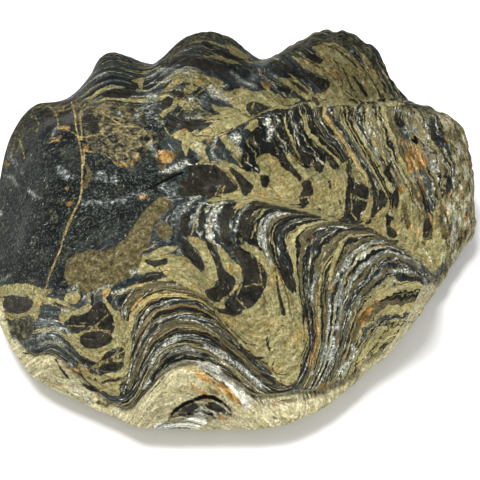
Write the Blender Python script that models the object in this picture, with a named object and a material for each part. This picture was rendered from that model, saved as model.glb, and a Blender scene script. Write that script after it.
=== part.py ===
"""Fossil oyster shell: one closed stone solid with strong radiating folds.

The shell lies on its worn underside. Its upper face is a thin-plate surface through
the crests of the folds and the floors of the hollows between them. At the margin the
upper valve ends in a zigzag edge, below which a wall of stone runs down to the foot
and turns under to a flat, worn attachment scar.
"""

import math

import bmesh
import bpy
import numpy as np

MM = 0.001

# Every length below is in millimetres, with +X to the right, +Y to the back and +Z up
# from the table. MIDDLE is the middle of the shell's outline in these lengths, and the
# finished shell is moved so that it comes to the origin.
MIDDLE = (-0.9, -0.3, 0.0)
APEX = (-33.0, -10.0, 36.0)
SCAR_CENTRE = (0.0, 0.0, 0.0)

# Crest of each fold, from the smooth hump at the left out to the margin.
FOLDS = {
    "low_left": [(-38, -28, 29), (-41, -33, 23), (-43, -37, 16)],
    "front": [(-21, -22, 35), (-13, -29, 34), (-10, -35, 31), (-8, -42, 24)],
    "right_front": [(-11, -11, 36), (7, -14, 37), (24, -18, 34), (34, -20, 28), (42, -22, 20)],
    "right": [(-9, 5, 38), (2, 12, 39), (16, 17, 40), (38, 22, 36), (48, 22, 31), (54, 23, 26)],
    "back_right": [(-3, 17, 38), (2, 25, 37.5), (8, 35, 36.5), (16, 41, 35.5), (25, 45, 34), (33, 47, 30)],
    "back": [(-18, 18, 37), (-12, 30, 37), (-9, 41, 36), (-7, 48, 34)],
    "back_left": [(-31, 20, 36), (-31, 32, 34), (-32, 43, 29)],
    "left": [(-45, 20, 31), (-50, 33, 24)],
}

# Floor of each hollow between two folds, in the same way.
HOLLOWS = {
    "low_left_front": [(-29, -30, 28), (-30, -39, 17), (-27, -47, 9)],
    "front_right_front": [(-11, -18, 31), (-3, -24, 25), (3, -31, 19), (8, -37, 14), (11, -44, 10)],
    "right_front_right": [(-9, 0, 32), (7, 3, 27), (21, 2, 22), (37, -3, 15), (47, -11, 10)],
    "right_back_right": [(2, 19, 35), (12, 27, 30), (30, 34, 24), (44, 36, 19)],
    "back_right_back": [(-11, 16, 35), (-6, 26, 33), (0, 37, 29), (5, 50, 22.5)],
    "back_back_left": [(-26, 18, 35), (-24, 32, 31), (-22, 47, 24)],
    "back_left_left": [(-40, 22, 32), (-41, 39, 22)],
}

# Margin points beside the folds' ends, and round the smooth left end.
MARGIN_BETWEEN = {
    "left_high": (-55, 29, 21),
    "left_upper": (-58, 19, 18),
    "left_middle": (-58, 0, 15),
    "left_low": (-56, -18, 12),
    "left_foot": (-49, -32, 10),
    "front_left_flank": (-16, -45.5, 15),
    "front_flank": (22, -41, 10),
    "right_front_flank": (33, -32, 10),
    "right_low": (51, -2, 10),
    "right_middle": (56, 8, 13),
    "back_right_flank": (38, 41, 24),
    "back_right_crest": (19, 50, 32),
    "back_right_side": (-1, 50, 29),
    "back_side": (-15, 49, 30),
    "back_left_right": (-27, 45, 28),
    "back_left_left_side": (-37, 42, 26),
}
SMOOTH_HUMP = [(-46, 5, 31), (-46, -12, 29), (-22, 0, 36.5), (-25, -14, 36)]

# Points on the steep front face of the right front fold.
STEEP_FACE = [(37, -25, 18), (31, -26, 21), (24, -29, 22)]

# How far the wall under each margin point stands out before it turns under.
WALL_FLARE = {
    "left_foot": 2.0,
    "low_left": 3.0,
    "low_left_front": 2.0,
    "front_left_flank": 7.5,
    "front": 9.0,
    "front_right_front": 6.0,
    "front_flank": 1.5,
    "right_front_flank": 0.0,
    "right_front": -1.0,
    "right_front_right": 0.5,
    "right": 2.5,
    "back_right": 2.0,
    "back": 4.0,
    "back_left": 3.0,
}
PLAIN_FLARE = 1.5

# The upper valve ends in a low step, and below it the wall starts a little inside.
EDGE_STEP = 1.6
EDGE_INSET = 0.7

# Every second ring of the wall stands out a little, as the edges of stone layers do.
WALL_LAYER = 0.5

FOOT_HEIGHT = 6.5
LOWEST_EDGE = 9.0
SCAR_SHARE = 0.55

# Growth ledges: each band of rings rises outwards and drops back at its end. They fade
# in between these two places along X, because the left end is worn smooth.
LEDGE_RINGS = 3
LEDGE_RELIEF = 0.6
LEDGE_FADE = (-34.0, -12.0)

# Pits: middle in plan, radius and depth.
PITS = [((42.0, 17.0), 4.5, 2.2), ((-1.5, 4.5), 3.0, 0.8), ((-24.0, -6.0), 3.5, 0.5)]

SEGMENTS = 112
TOP_RINGS = 28
WALL_RINGS = 7
UNDER_RINGS = 7

STONE_COLOUR = (0.14, 0.125, 0.075, 1.0)
STONE_ROUGHNESS = 0.42


def thin_plate(points):
    """A function z(x, y) that bends as a thin plate through (x, y, z) points."""
    points = np.asarray(points, float)
    centres = points[:, :2]

    def kernel(at):
        square = ((at[:, None, :] - centres[None, :, :]) ** 2).sum(-1)
        return 0.5 * square * np.log(square + 1e-9)

    count = len(points)
    plane = np.column_stack([np.ones(count), centres])
    system = np.zeros((count + 3, count + 3))
    system[:count, :count] = kernel(centres)
    system[:count, count:] = plane
    system[count:, :count] = plane.T
    weights = np.linalg.solve(system, np.append(points[:, 2], np.zeros(3)))

    def height(x, y):
        at = np.column_stack([np.ravel(x), np.ravel(y)])
        value = kernel(at) @ weights[:count] + weights[count] + at @ weights[count + 1 :]
        return value.reshape(np.shape(x))

    return height


def closed_curve(knots, shares):
    """Catmull-Rom points on the closed curve through the knots, at shares 0 to 1."""
    knots = np.asarray(knots, float)
    count = len(knots)
    place = np.asarray(shares) % 1.0 * count
    first = np.floor(place).astype(int)
    t = (place - first)[:, None]
    a, b, c, d = (knots[(first + step) % count] for step in (-1, 0, 1, 2))
    return 0.5 * (
        2 * b + (c - a) * t + (2 * a - 5 * b + 4 * c - d) * t**2 + (3 * b - a - 3 * c + d) * t**3
    )


def margin_stations():
    """Margin points in order round the shell, each with its wall's flare."""
    ends = {**MARGIN_BETWEEN}
    for lines in (FOLDS, HOLLOWS):
        ends.update({name: line[-1] for name, line in lines.items()})
    order = sorted(ends, key=lambda name: math.atan2(ends[name][1], ends[name][0]))
    margin = np.array([ends[name] for name in order], float)
    flare = np.array([WALL_FLARE.get(name, PLAIN_FLARE) for name in order])
    return margin, flare


def ledge(ring, plan):
    """Height of the growth ledges: a ramp over each band of rings, worn away at the left."""
    start, full = LEDGE_FADE
    ramp = (ring % LEDGE_RINGS) / (LEDGE_RINGS - 1) - 0.5
    return LEDGE_RELIEF * ramp * np.clip((plan[:, 0] - start) / (full - start), 0, 1)


def pit_depth(plan):
    """Depth of the round pits at each plan point, smooth from rim to middle."""
    depth = np.zeros(len(plan))
    for middle, radius, deepest in PITS:
        away = np.linalg.norm(plan - np.array(middle), axis=1) / radius
        depth += deepest * np.clip(1 - away**2, 0, None) ** 2
    return depth


def surface_points():
    """Rings of points from the apex over the margin and the wall to the scar."""
    relief = [point for lines in (FOLDS, HOLLOWS) for line in lines.values() for point in line]
    relief += [APEX, *SMOOTH_HUMP, *STEEP_FACE, *MARGIN_BETWEEN.values()]
    height = thin_plate(relief)

    margin, flare = margin_stations()
    shares = np.arange(SEGMENTS) / SEGMENTS
    edge = closed_curve(margin[:, :2], shares)
    outward = edge / np.linalg.norm(edge, axis=1, keepdims=True)
    foot = edge + outward * closed_curve(flare[:, None], shares)

    rings = []
    apex = np.array(APEX[:2])
    for ring in range(1, TOP_RINGS + 1):
        share = ring / TOP_RINGS
        plan = apex + (edge - apex) * share
        level = height(plan[:, 0], plan[:, 1]) + ledge(ring, plan)
        level = np.maximum(level - pit_depth(plan), LOWEST_EDGE)
        rings.append(np.column_stack([plan, level]))
    step_top = rings[-1][:, 2]
    wall_top = step_top - EDGE_STEP
    inner = edge - outward * EDGE_INSET
    for ring in range(WALL_RINGS):
        turn = 0.5 * math.pi * ring / (WALL_RINGS - 1)
        plan = inner + (foot - inner) * math.sin(turn) + outward * WALL_LAYER * (ring % 2)
        drop = (wall_top - FOOT_HEIGHT) * (1 - math.cos(turn))
        rings.append(np.column_stack([plan, wall_top - drop]))
    for ring in range(1, UNDER_RINGS + 1):
        turn = 0.5 * math.pi * ring / UNDER_RINGS
        share = 1 - (1 - SCAR_SHARE) * (1 - math.cos(turn))
        level = np.full(SEGMENTS, FOOT_HEIGHT * (1 - math.sin(turn)))
        rings.append(np.column_stack([foot * share, level]))
    top = np.array([*APEX[:2], height(APEX[0], APEX[1])])
    return top, rings, np.array(SCAR_CENTRE)


def stone_material():
    """Dark polished shell stone."""
    material = bpy.data.materials.new("polished_shell_stone")
    material.use_nodes = True
    shader = material.node_tree.nodes["Principled BSDF"]
    shader.inputs["Base Color"].default_value = STONE_COLOUR
    shader.inputs["Roughness"].default_value = STONE_ROUGHNESS
    shader.inputs["Metallic"].default_value = 0.0
    return material


def build_shell(collection):
    """A UV sphere whose rings are carried onto the shell's surface."""
    top, rings, scar = surface_points()
    mesh = bpy.data.meshes.new("oyster_shell")
    shape = bmesh.new()
    bmesh.ops.create_uvsphere(shape, u_segments=SEGMENTS, v_segments=len(rings) + 1, radius=1.0)
    for vertex in shape.verts:
        polar = math.acos(max(-1.0, min(1.0, vertex.co.z)))
        ring = round(polar / math.pi * (len(rings) + 1))
        turn = math.atan2(vertex.co.y, vertex.co.x) / (2 * math.pi)
        if ring == 0:
            point = top
        elif ring > len(rings):
            point = scar
        else:
            point = rings[ring - 1][round(turn * SEGMENTS) % SEGMENTS]
        vertex.co = (point - MIDDLE) * MM
    shape.to_mesh(mesh)
    shape.free()
    mesh.materials.append(stone_material())
    mesh.shade_smooth()
    shell = bpy.data.objects.new("oyster_shell", mesh)
    collection.objects.link(shell)
    return shell


def main():
    for existing in list(bpy.data.objects):
        bpy.data.objects.remove(existing)
    collection = bpy.data.collections.new("fossil_oyster_shell")
    bpy.context.scene.collection.children.link(collection)
    build_shell(collection)


main()
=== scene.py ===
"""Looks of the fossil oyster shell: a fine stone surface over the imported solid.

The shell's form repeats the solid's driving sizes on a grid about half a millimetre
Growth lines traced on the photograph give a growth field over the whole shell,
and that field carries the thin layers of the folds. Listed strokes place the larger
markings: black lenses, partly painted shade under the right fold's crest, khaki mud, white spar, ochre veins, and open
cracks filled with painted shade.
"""

from __future__ import annotations

import logging
import math
from dataclasses import dataclass, field
from enum import Enum
from typing import Callable

import bpy
import numpy as np
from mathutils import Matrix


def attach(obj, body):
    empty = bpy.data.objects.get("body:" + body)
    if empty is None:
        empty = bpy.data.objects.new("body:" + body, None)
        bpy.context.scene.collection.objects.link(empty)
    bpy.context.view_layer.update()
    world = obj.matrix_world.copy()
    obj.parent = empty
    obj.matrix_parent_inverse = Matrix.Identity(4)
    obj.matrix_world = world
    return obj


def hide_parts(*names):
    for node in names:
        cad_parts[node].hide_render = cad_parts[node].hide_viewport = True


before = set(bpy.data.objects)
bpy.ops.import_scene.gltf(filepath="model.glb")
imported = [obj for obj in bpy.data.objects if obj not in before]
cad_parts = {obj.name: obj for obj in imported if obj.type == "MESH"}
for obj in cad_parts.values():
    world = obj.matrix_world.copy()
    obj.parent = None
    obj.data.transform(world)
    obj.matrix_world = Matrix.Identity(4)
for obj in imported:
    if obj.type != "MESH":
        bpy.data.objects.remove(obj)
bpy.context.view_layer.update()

LOG = logging.getLogger("fossil_oyster_shell")
MM = 0.001
Plan = tuple[float, float]
Place = tuple[float, float, float]
Stroke = list[Place]

# The solid's driving sizes in millimetres, before MIDDLE brings the shell to the origin.
MIDDLE = (-0.9, -0.3, 0.0)
APEX = (-33.0, -10.0, 36.0)
FOLDS: dict[str, list[Place]] = {
    "low_left": [(-38, -28, 29), (-41, -33, 23), (-43, -37, 16)],
    "front": [(-21, -22, 35), (-13, -29, 34), (-10, -35, 31), (-10, -43.5, 21)],
    "right_front": [(-11, -11, 36), (7, -14, 37), (24, -18, 34), (34, -20, 28), (42, -22, 20)],
    "right": [(-9, 5, 38), (2, 12, 39), (16, 17, 40), (38, 22, 36), (48, 22, 31), (54, 23, 26)],
    "back_right": [(-3, 17, 38), (2, 25, 37.5), (8, 35, 36.5), (16, 41, 35.5), (25, 45, 34), (33, 47, 30)],
    "back": [(-18, 18, 37), (-12, 30, 37), (-9, 41, 36), (-7, 48, 34)],
    "back_left": [(-33, 20, 36), (-34.5, 32, 34.5), (-35, 42, 30.5)],
    "left": [(-45, 20, 31), (-50, 33, 24)],
}
HOLLOWS: dict[str, list[Place]] = {
    "low_left_front": [(-29, -30, 28), (-30, -39, 17), (-27, -47, 9)],
    "front_right_front": [(-11, -18, 31), (-3, -24, 25), (3, -31, 19), (8, -37, 14), (11, -44, 10)],
    "right_front_right": [(-9, 0, 32), (7, 3, 27), (21, 2, 22), (37, -3, 15), (47, -11, 10)],
    "right_back_right": [(2, 19, 35), (12, 27, 30), (30, 34, 24), (44, 36, 19)],
    "back_right_back": [(-11, 16, 35), (-6, 26, 33), (0, 37, 29), (5, 50, 22.5)],
    "back_back_left": [(-26, 18, 35), (-24, 32, 31), (-22, 47, 24)],
    "back_left_left": [(-42, 23, 30), (-43.5, 37, 21)],
}
MARGIN_BETWEEN: dict[str, Place] = {
    "left_high": (-55, 29, 21),
    "left_upper": (-58, 19, 18),
    "left_middle": (-58, 0, 15),
    "left_low": (-56, -18, 12),
    "left_foot": (-49, -32, 10),
    "front_left_low": (-21.5, -46.3, 14),
    "front_left_flank": (-17, -44.5, 19),
    "front_right_flank": (-1, -43.8, 14.5),
    "front_right_low": (3, -44.6, 11),
    "front_flank": (22, -41, 10),
    "right_front_flank": (33, -32, 10),
    "right_low": (51, -2, 10),
    "right_middle": (56, 8, 13),
    "back_right_flank": (38, 41, 24),
    "back_right_crest": (19, 50, 32),
    "back_right_side": (-1, 50, 29),
    "back_side": (-15, 49, 30),
    "back_left_right": (-27, 45, 28),
    "back_left_left_side": (-37, 42, 26),
}
SMOOTH_HUMP: list[Place] = [(-46, 5, 31), (-46, -12, 29), (-22, 0, 36.5), (-25, -14, 36)]
STEEP_FACE: list[Place] = [(37, -25, 18), (31, -26, 21), (24, -29, 22)]
WALL_FLARE: dict[str, float] = {
    "left_foot": 2.0,
    "low_left": 3.0,
    "low_left_front": 2.0,
    "front_left_low": 5.0,
    "front_left_flank": 7.5,
    "front": 8.5,
    "front_right_flank": 7.8,
    "front_right_low": 7.0,
    "front_right_front": 6.0,
    "front_flank": 1.5,
    "right_front_flank": 0.0,
    "right_front": -1.0,
    "right_front_right": 0.5,
    "right": 2.5,
    "back_right": 2.0,
    "back": 4.0,
    "back_left": 3.0,
}
PLAIN_FLARE = 1.5
EDGE_STEP = 1.6
EDGE_INSET = 0.7
FOOT_HEIGHT = 6.5
LOWEST_EDGE = 9.0
SCAR_SHARE = 0.55
PITS: list[tuple[Plan, float, float]] = [
    ((42.0, 17.0), 4.5, 2.2),
    ((-1.5, 4.5), 3.0, 0.8),
    ((-24.0, -6.0), 3.5, 0.5),
]

# Growth lines as (age, pixels of the photograph), from the back round to the front.
GROWTH_LINES: list[tuple[float, list[Plan]]] = [
    (12, [(60, 190), (40, 215), (80, 165)]),
    (25, [(110, 170), (100, 220), (60, 250), (90, 130)]),
    (35, [(150, 165), (150, 205), (145, 135), (125, 240)]),
    (41, [(185, 125), (212, 163), (224, 172), (235, 181), (241, 189), (236, 195), (219, 197), (200, 200),
          (188, 206), (176, 214), (171, 224), (172, 236)]),
    (44, [(236, 163), (250, 172), (255, 185), (250, 194), (235, 199), (215, 201), (198, 205), (184, 213),
          (177, 226), (181, 237), (192, 248), (201, 262), (201, 272), (190, 273), (170, 264), (150, 257)]),
    (46, [(243, 150), (256, 165), (262, 180), (259, 193), (245, 199), (230, 201), (212, 205), (203, 215),
          (201, 230), (209, 240), (218, 258), (227, 273), (233, 283), (227, 294), (215, 300), (200, 291),
          (185, 282), (165, 273), (145, 268), (125, 276)]),
    (48, [(252, 135), (265, 155), (275, 172), (280, 188), (270, 200), (250, 202), (233, 204), (224, 215),
          (219, 230), (221, 243), (230, 255), (240, 268), (243, 282), (238, 297), (224, 307), (212, 302),
          (198, 291), (182, 283), (165, 279), (148, 279), (135, 284), (120, 290)]),
    (50, [(70, 112), (85, 104), (100, 95), (118, 90), (135, 93), (148, 93), (160, 85), (175, 78), (190, 79),
          (205, 86), (222, 97), (245, 110), (263, 121), (277, 145), (287, 164), (301, 179), (309, 191),
          (306, 205), (294, 210), (278, 209), (262, 206), (249, 208), (241, 218), (240, 232), (246, 243),
          (256, 256), (265, 272), (268, 288), (261, 303), (249, 313), (236, 317), (222, 313), (212, 305),
          (200, 294), (184, 286), (168, 282), (150, 283), (130, 287), (112, 293), (107, 302), (113, 314),
          (115, 330), (112, 345), (98, 351), (84, 346), (74, 335), (66, 325), (52, 320), (38, 315)]),
    (54, [(231, 72), (250, 85), (270, 98), (286, 112), (289, 133), (298, 153), (310, 166), (325, 180),
          (332, 198), (325, 213), (310, 214), (290, 212), (272, 213), (260, 219), (254, 230), (257, 243),
          (266, 256), (274, 270), (277, 288), (280, 303), (283, 322), (272, 335), (256, 338), (240, 331),
          (225, 320), (211, 307), (199, 299), (181, 294), (165, 292), (150, 296), (138, 307), (130, 317),
          (126, 330), (124, 345), (117, 353), (100, 356), (84, 353), (73, 343), (64, 333), (50, 325)]),
    (60, [(90, 86), (102, 78), (118, 74), (135, 80), (150, 80), (160, 70), (172, 60), (188, 52), (205, 50),
          (222, 55), (240, 64), (258, 76), (272, 86), (290, 98), (306, 110), (306, 125), (316, 138),
          (332, 147), (344, 160), (347, 184), (346, 205), (340, 219), (320, 218), (304, 217), (290, 218),
          (280, 225), (274, 237), (273, 250), (277, 262), (285, 275), (293, 290), (297, 305), (299, 325),
          (297, 345), (290, 360), (276, 362), (262, 355), (247, 343), (232, 328), (218, 315), (203, 307),
          (185, 303), (168, 305), (153, 311), (143, 320), (136, 335), (131, 350), (127, 365), (118, 368),
          (104, 368), (90, 362), (78, 354), (68, 343), (54, 332)]),
    (67, [(285, 62), (300, 76), (313, 91), (324, 110), (327, 125), (341, 141), (351, 158), (362, 171),
          (372, 188), (375, 207), (369, 220), (347, 225), (326, 223), (311, 231), (302, 246), (300, 264),
          (299, 286), (301, 307), (306, 327), (309, 347), (302, 367), (293, 384), (281, 385), (271, 378),
          (260, 370), (247, 358), (233, 344), (220, 333), (205, 325), (186, 321), (168, 324), (153, 333),
          (143, 345), (136, 360), (131, 377), (124, 385), (110, 381), (95, 374), (82, 366), (71, 354),
          (58, 342)]),
    (74, [(94, 72), (106, 64), (122, 63), (140, 68), (156, 66), (166, 56), (178, 46), (192, 39), (208, 37),
          (225, 41), (240, 50), (318, 64), (333, 80), (345, 96), (350, 109), (350, 122), (362, 147),
          (373, 165), (385, 184), (393, 196), (396, 213), (388, 230), (378, 236), (362, 231), (344, 234),
          (331, 245), (320, 260), (316, 274), (312, 288), (311, 300), (313, 316), (317, 331), (315, 349),
          (309, 368), (298, 388), (285, 392), (272, 388), (258, 377), (244, 366), (230, 353), (216, 343),
          (200, 336), (184, 333), (168, 337), (154, 347), (145, 360), (139, 374), (133, 390), (124, 396),
          (108, 389), (92, 381), (80, 371)]),
    (80, [(316, 44), (338, 59), (355, 76), (366, 94), (371, 108), (374, 125), (382, 145), (391, 163),
          (400, 178), (406, 195), (409, 213), (407, 232), (401, 241), (392, 243), (375, 241), (359, 246),
          (347, 257), (338, 269), (332, 286), (329, 307), (326, 330), (321, 353), (316, 371), (307, 388),
          (297, 396), (283, 399), (268, 396), (255, 386), (241, 375), (227, 363), (213, 352), (199, 344),
          (184, 341), (169, 345), (156, 354), (147, 368), (140, 383), (133, 397)]),
    (84, [(353, 54), (370, 72), (382, 92), (388, 106), (390, 122), (397, 143), (406, 163), (413, 180),
          (419, 199), (423, 216), (424, 236), (419, 250), (408, 254), (393, 250), (378, 250), (362, 261),
          (350, 273), (340, 292), (338, 310), (335, 330), (331, 353), (325, 373)]),
    (90, [(381, 80), (394, 102), (401, 120), (408, 140), (417, 160), (426, 180), (433, 200), (437, 220),
          (438, 240), (434, 260), (424, 279), (414, 273), (402, 267), (387, 269), (372, 280), (359, 295),
          (350, 316), (344, 338), (337, 358), (329, 376)]),
    (95, [(418, 112), (428, 132), (440, 153), (450, 176), (453, 199), (452, 225), (446, 256)]),
    (95, [(422, 298), (411, 297), (396, 296), (384, 300), (372, 307), (358, 322), (352, 342), (345, 358)]),
]
# Age at margin points that the photograph hides: low on the worn hump, high at the back.
HIDDEN_MARGIN = {
    "left_upper": 40.0,
    "left_middle": 38.0,
    "left_low": 46.0,
    "back_right_flank": 96.0,
    "back_right_crest": 96.0,
    "back_right_side": 96.0,
    "back_side": 96.0,
    "back_left_right": 96.0,
    "back_left_left_side": 90.0,
}


class Mark(Enum):
    """Markings given one by one: filled patches, and strokes with a radius."""

    RIGHT_FOLD = "right_fold"
    RIGHT_FRONT_FOLD = "right_front_fold"
    FRONT_FOLD = "front_fold"
    KHAKI_LAYERS = "khaki_layers"
    WHITE_LAYERS = "white_layers"
    HUMP = "hump"
    NET = "net"
    FILM = "film"
    ROUGH = "rough"
    CREAM = "cream"
    KHAKI = "khaki"
    BROWN = "brown"
    # Black calcite lenses; in the hollow under the right fold's crest the same mark is painted shade of the overhang.
    LENS_AND_SHADE = "lens"
    GREY = "grey"
    SPAR = "spar"
    OCHRE = "ochre"
    # Open cracks and a furrow, filled with near-black painted shade.
    CRACK_SHADE = "crack"


SOFT_MARKS = (Mark.KHAKI_LAYERS, Mark.WHITE_LAYERS, Mark.HUMP)


class Line(Enum):
    """Thin lines, given as chains of points."""

    TAN = "tan"
    DARK = "dark"
    PALE = "pale"
    VEIN = "vein"


class Layer(Enum):
    """Stones of the folds' layers: colour, and how much of it white crystals hide."""

    BLACK = ("#171a19", 0.05)
    GREY = ("#3a3f3b", 0.35)
    SPECKLED = ("#262b2c", 0.6)
    WHITE = ("#5f625a", 0.85)
    CREAM = ("#a19a76", 0.7)
    KHAKI = ("#958c60", 0.1)
    OLIVE = ("#57513a", 0.1)
    TAN = ("#a3935f", 0.1)
    RUST = ("#6c5d3b", 0.2)
    DUSTY = ("#736a4a", 0.5)


# Each layer's stone and the age at which it starts, read from the crest of each fold.
FOLD_LAYERS: dict[Mark, list[tuple[float, Layer]]] = {
    Mark.RIGHT_FOLD: [
        (45, Layer.BLACK), (50, Layer.SPECKLED), (52, Layer.BLACK), (53.5, Layer.KHAKI), (54, Layer.BLACK),
        (55, Layer.SPECKLED), (56.5, Layer.BLACK), (58.4, Layer.KHAKI), (60, Layer.BLACK),
        (62, Layer.SPECKLED), (65, Layer.BLACK), (66, Layer.TAN), (67.6, Layer.RUST), (68, Layer.SPECKLED),
        (69.5, Layer.GREY), (71, Layer.KHAKI), (72.2, Layer.BLACK), (72.8, Layer.KHAKI), (73.2, Layer.BLACK),
        (74, Layer.KHAKI), (75.3, Layer.WHITE), (76, Layer.SPECKLED), (77.3, Layer.KHAKI), (78.2, Layer.DUSTY),
        (80.6, Layer.SPECKLED), (81, Layer.KHAKI), (82, Layer.SPECKLED), (82.5, Layer.KHAKI), (84, Layer.OLIVE),
        (87, Layer.GREY), (90, Layer.DUSTY), (95, Layer.SPECKLED),
    ],
    Mark.RIGHT_FRONT_FOLD: [
        (45, Layer.BLACK), (54, Layer.WHITE), (56, Layer.OLIVE),
        (57.8, Layer.BLACK), (60, Layer.SPECKLED), (62.2, Layer.BLACK), (63.6, Layer.KHAKI),
        (65.6, Layer.BLACK), (66.6, Layer.OLIVE), (68, Layer.BLACK), (69.4, Layer.SPECKLED),
        (71.6, Layer.BLACK), (73, Layer.OLIVE), (75.6, Layer.KHAKI), (77, Layer.BLACK), (78.2, Layer.OLIVE),
        (80.2, Layer.WHITE), (81.4, Layer.BLACK), (82.6, Layer.CREAM), (83.8, Layer.BLACK),
        (84.8, Layer.WHITE), (86.4, Layer.OLIVE), (87.6, Layer.SPECKLED), (90, Layer.OLIVE),
        (91.2, Layer.SPECKLED), (92, Layer.KHAKI), (94.5, Layer.BLACK), (95.3, Layer.OLIVE), (96.5, Layer.KHAKI),
        (98, Layer.GREY), (98.7, Layer.KHAKI),
    ],
    Mark.FRONT_FOLD: [
        (45, Layer.KHAKI), (48.6, Layer.TAN), (49.6, Layer.OLIVE), (53, Layer.BLACK), (54, Layer.TAN),
        (56.2, Layer.BLACK), (57.6, Layer.SPECKLED), (60, Layer.RUST), (61.2, Layer.BLACK),
        (63.4, Layer.OLIVE), (64.4, Layer.SPECKLED), (67.2, Layer.OLIVE), (72.2, Layer.BLACK),
        (75, Layer.SPECKLED), (77.5, Layer.RUST), (78.2, Layer.BLACK), (80, Layer.KHAKI), (81, Layer.SPECKLED),
        (82, Layer.RUST), (83, Layer.SPECKLED), (84.6, Layer.OLIVE), (86, Layer.BLACK),
        (88.5, Layer.WHITE), (90.5, Layer.CREAM), (96.5, Layer.TAN), (97.5, Layer.CREAM),
    ],
}

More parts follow.
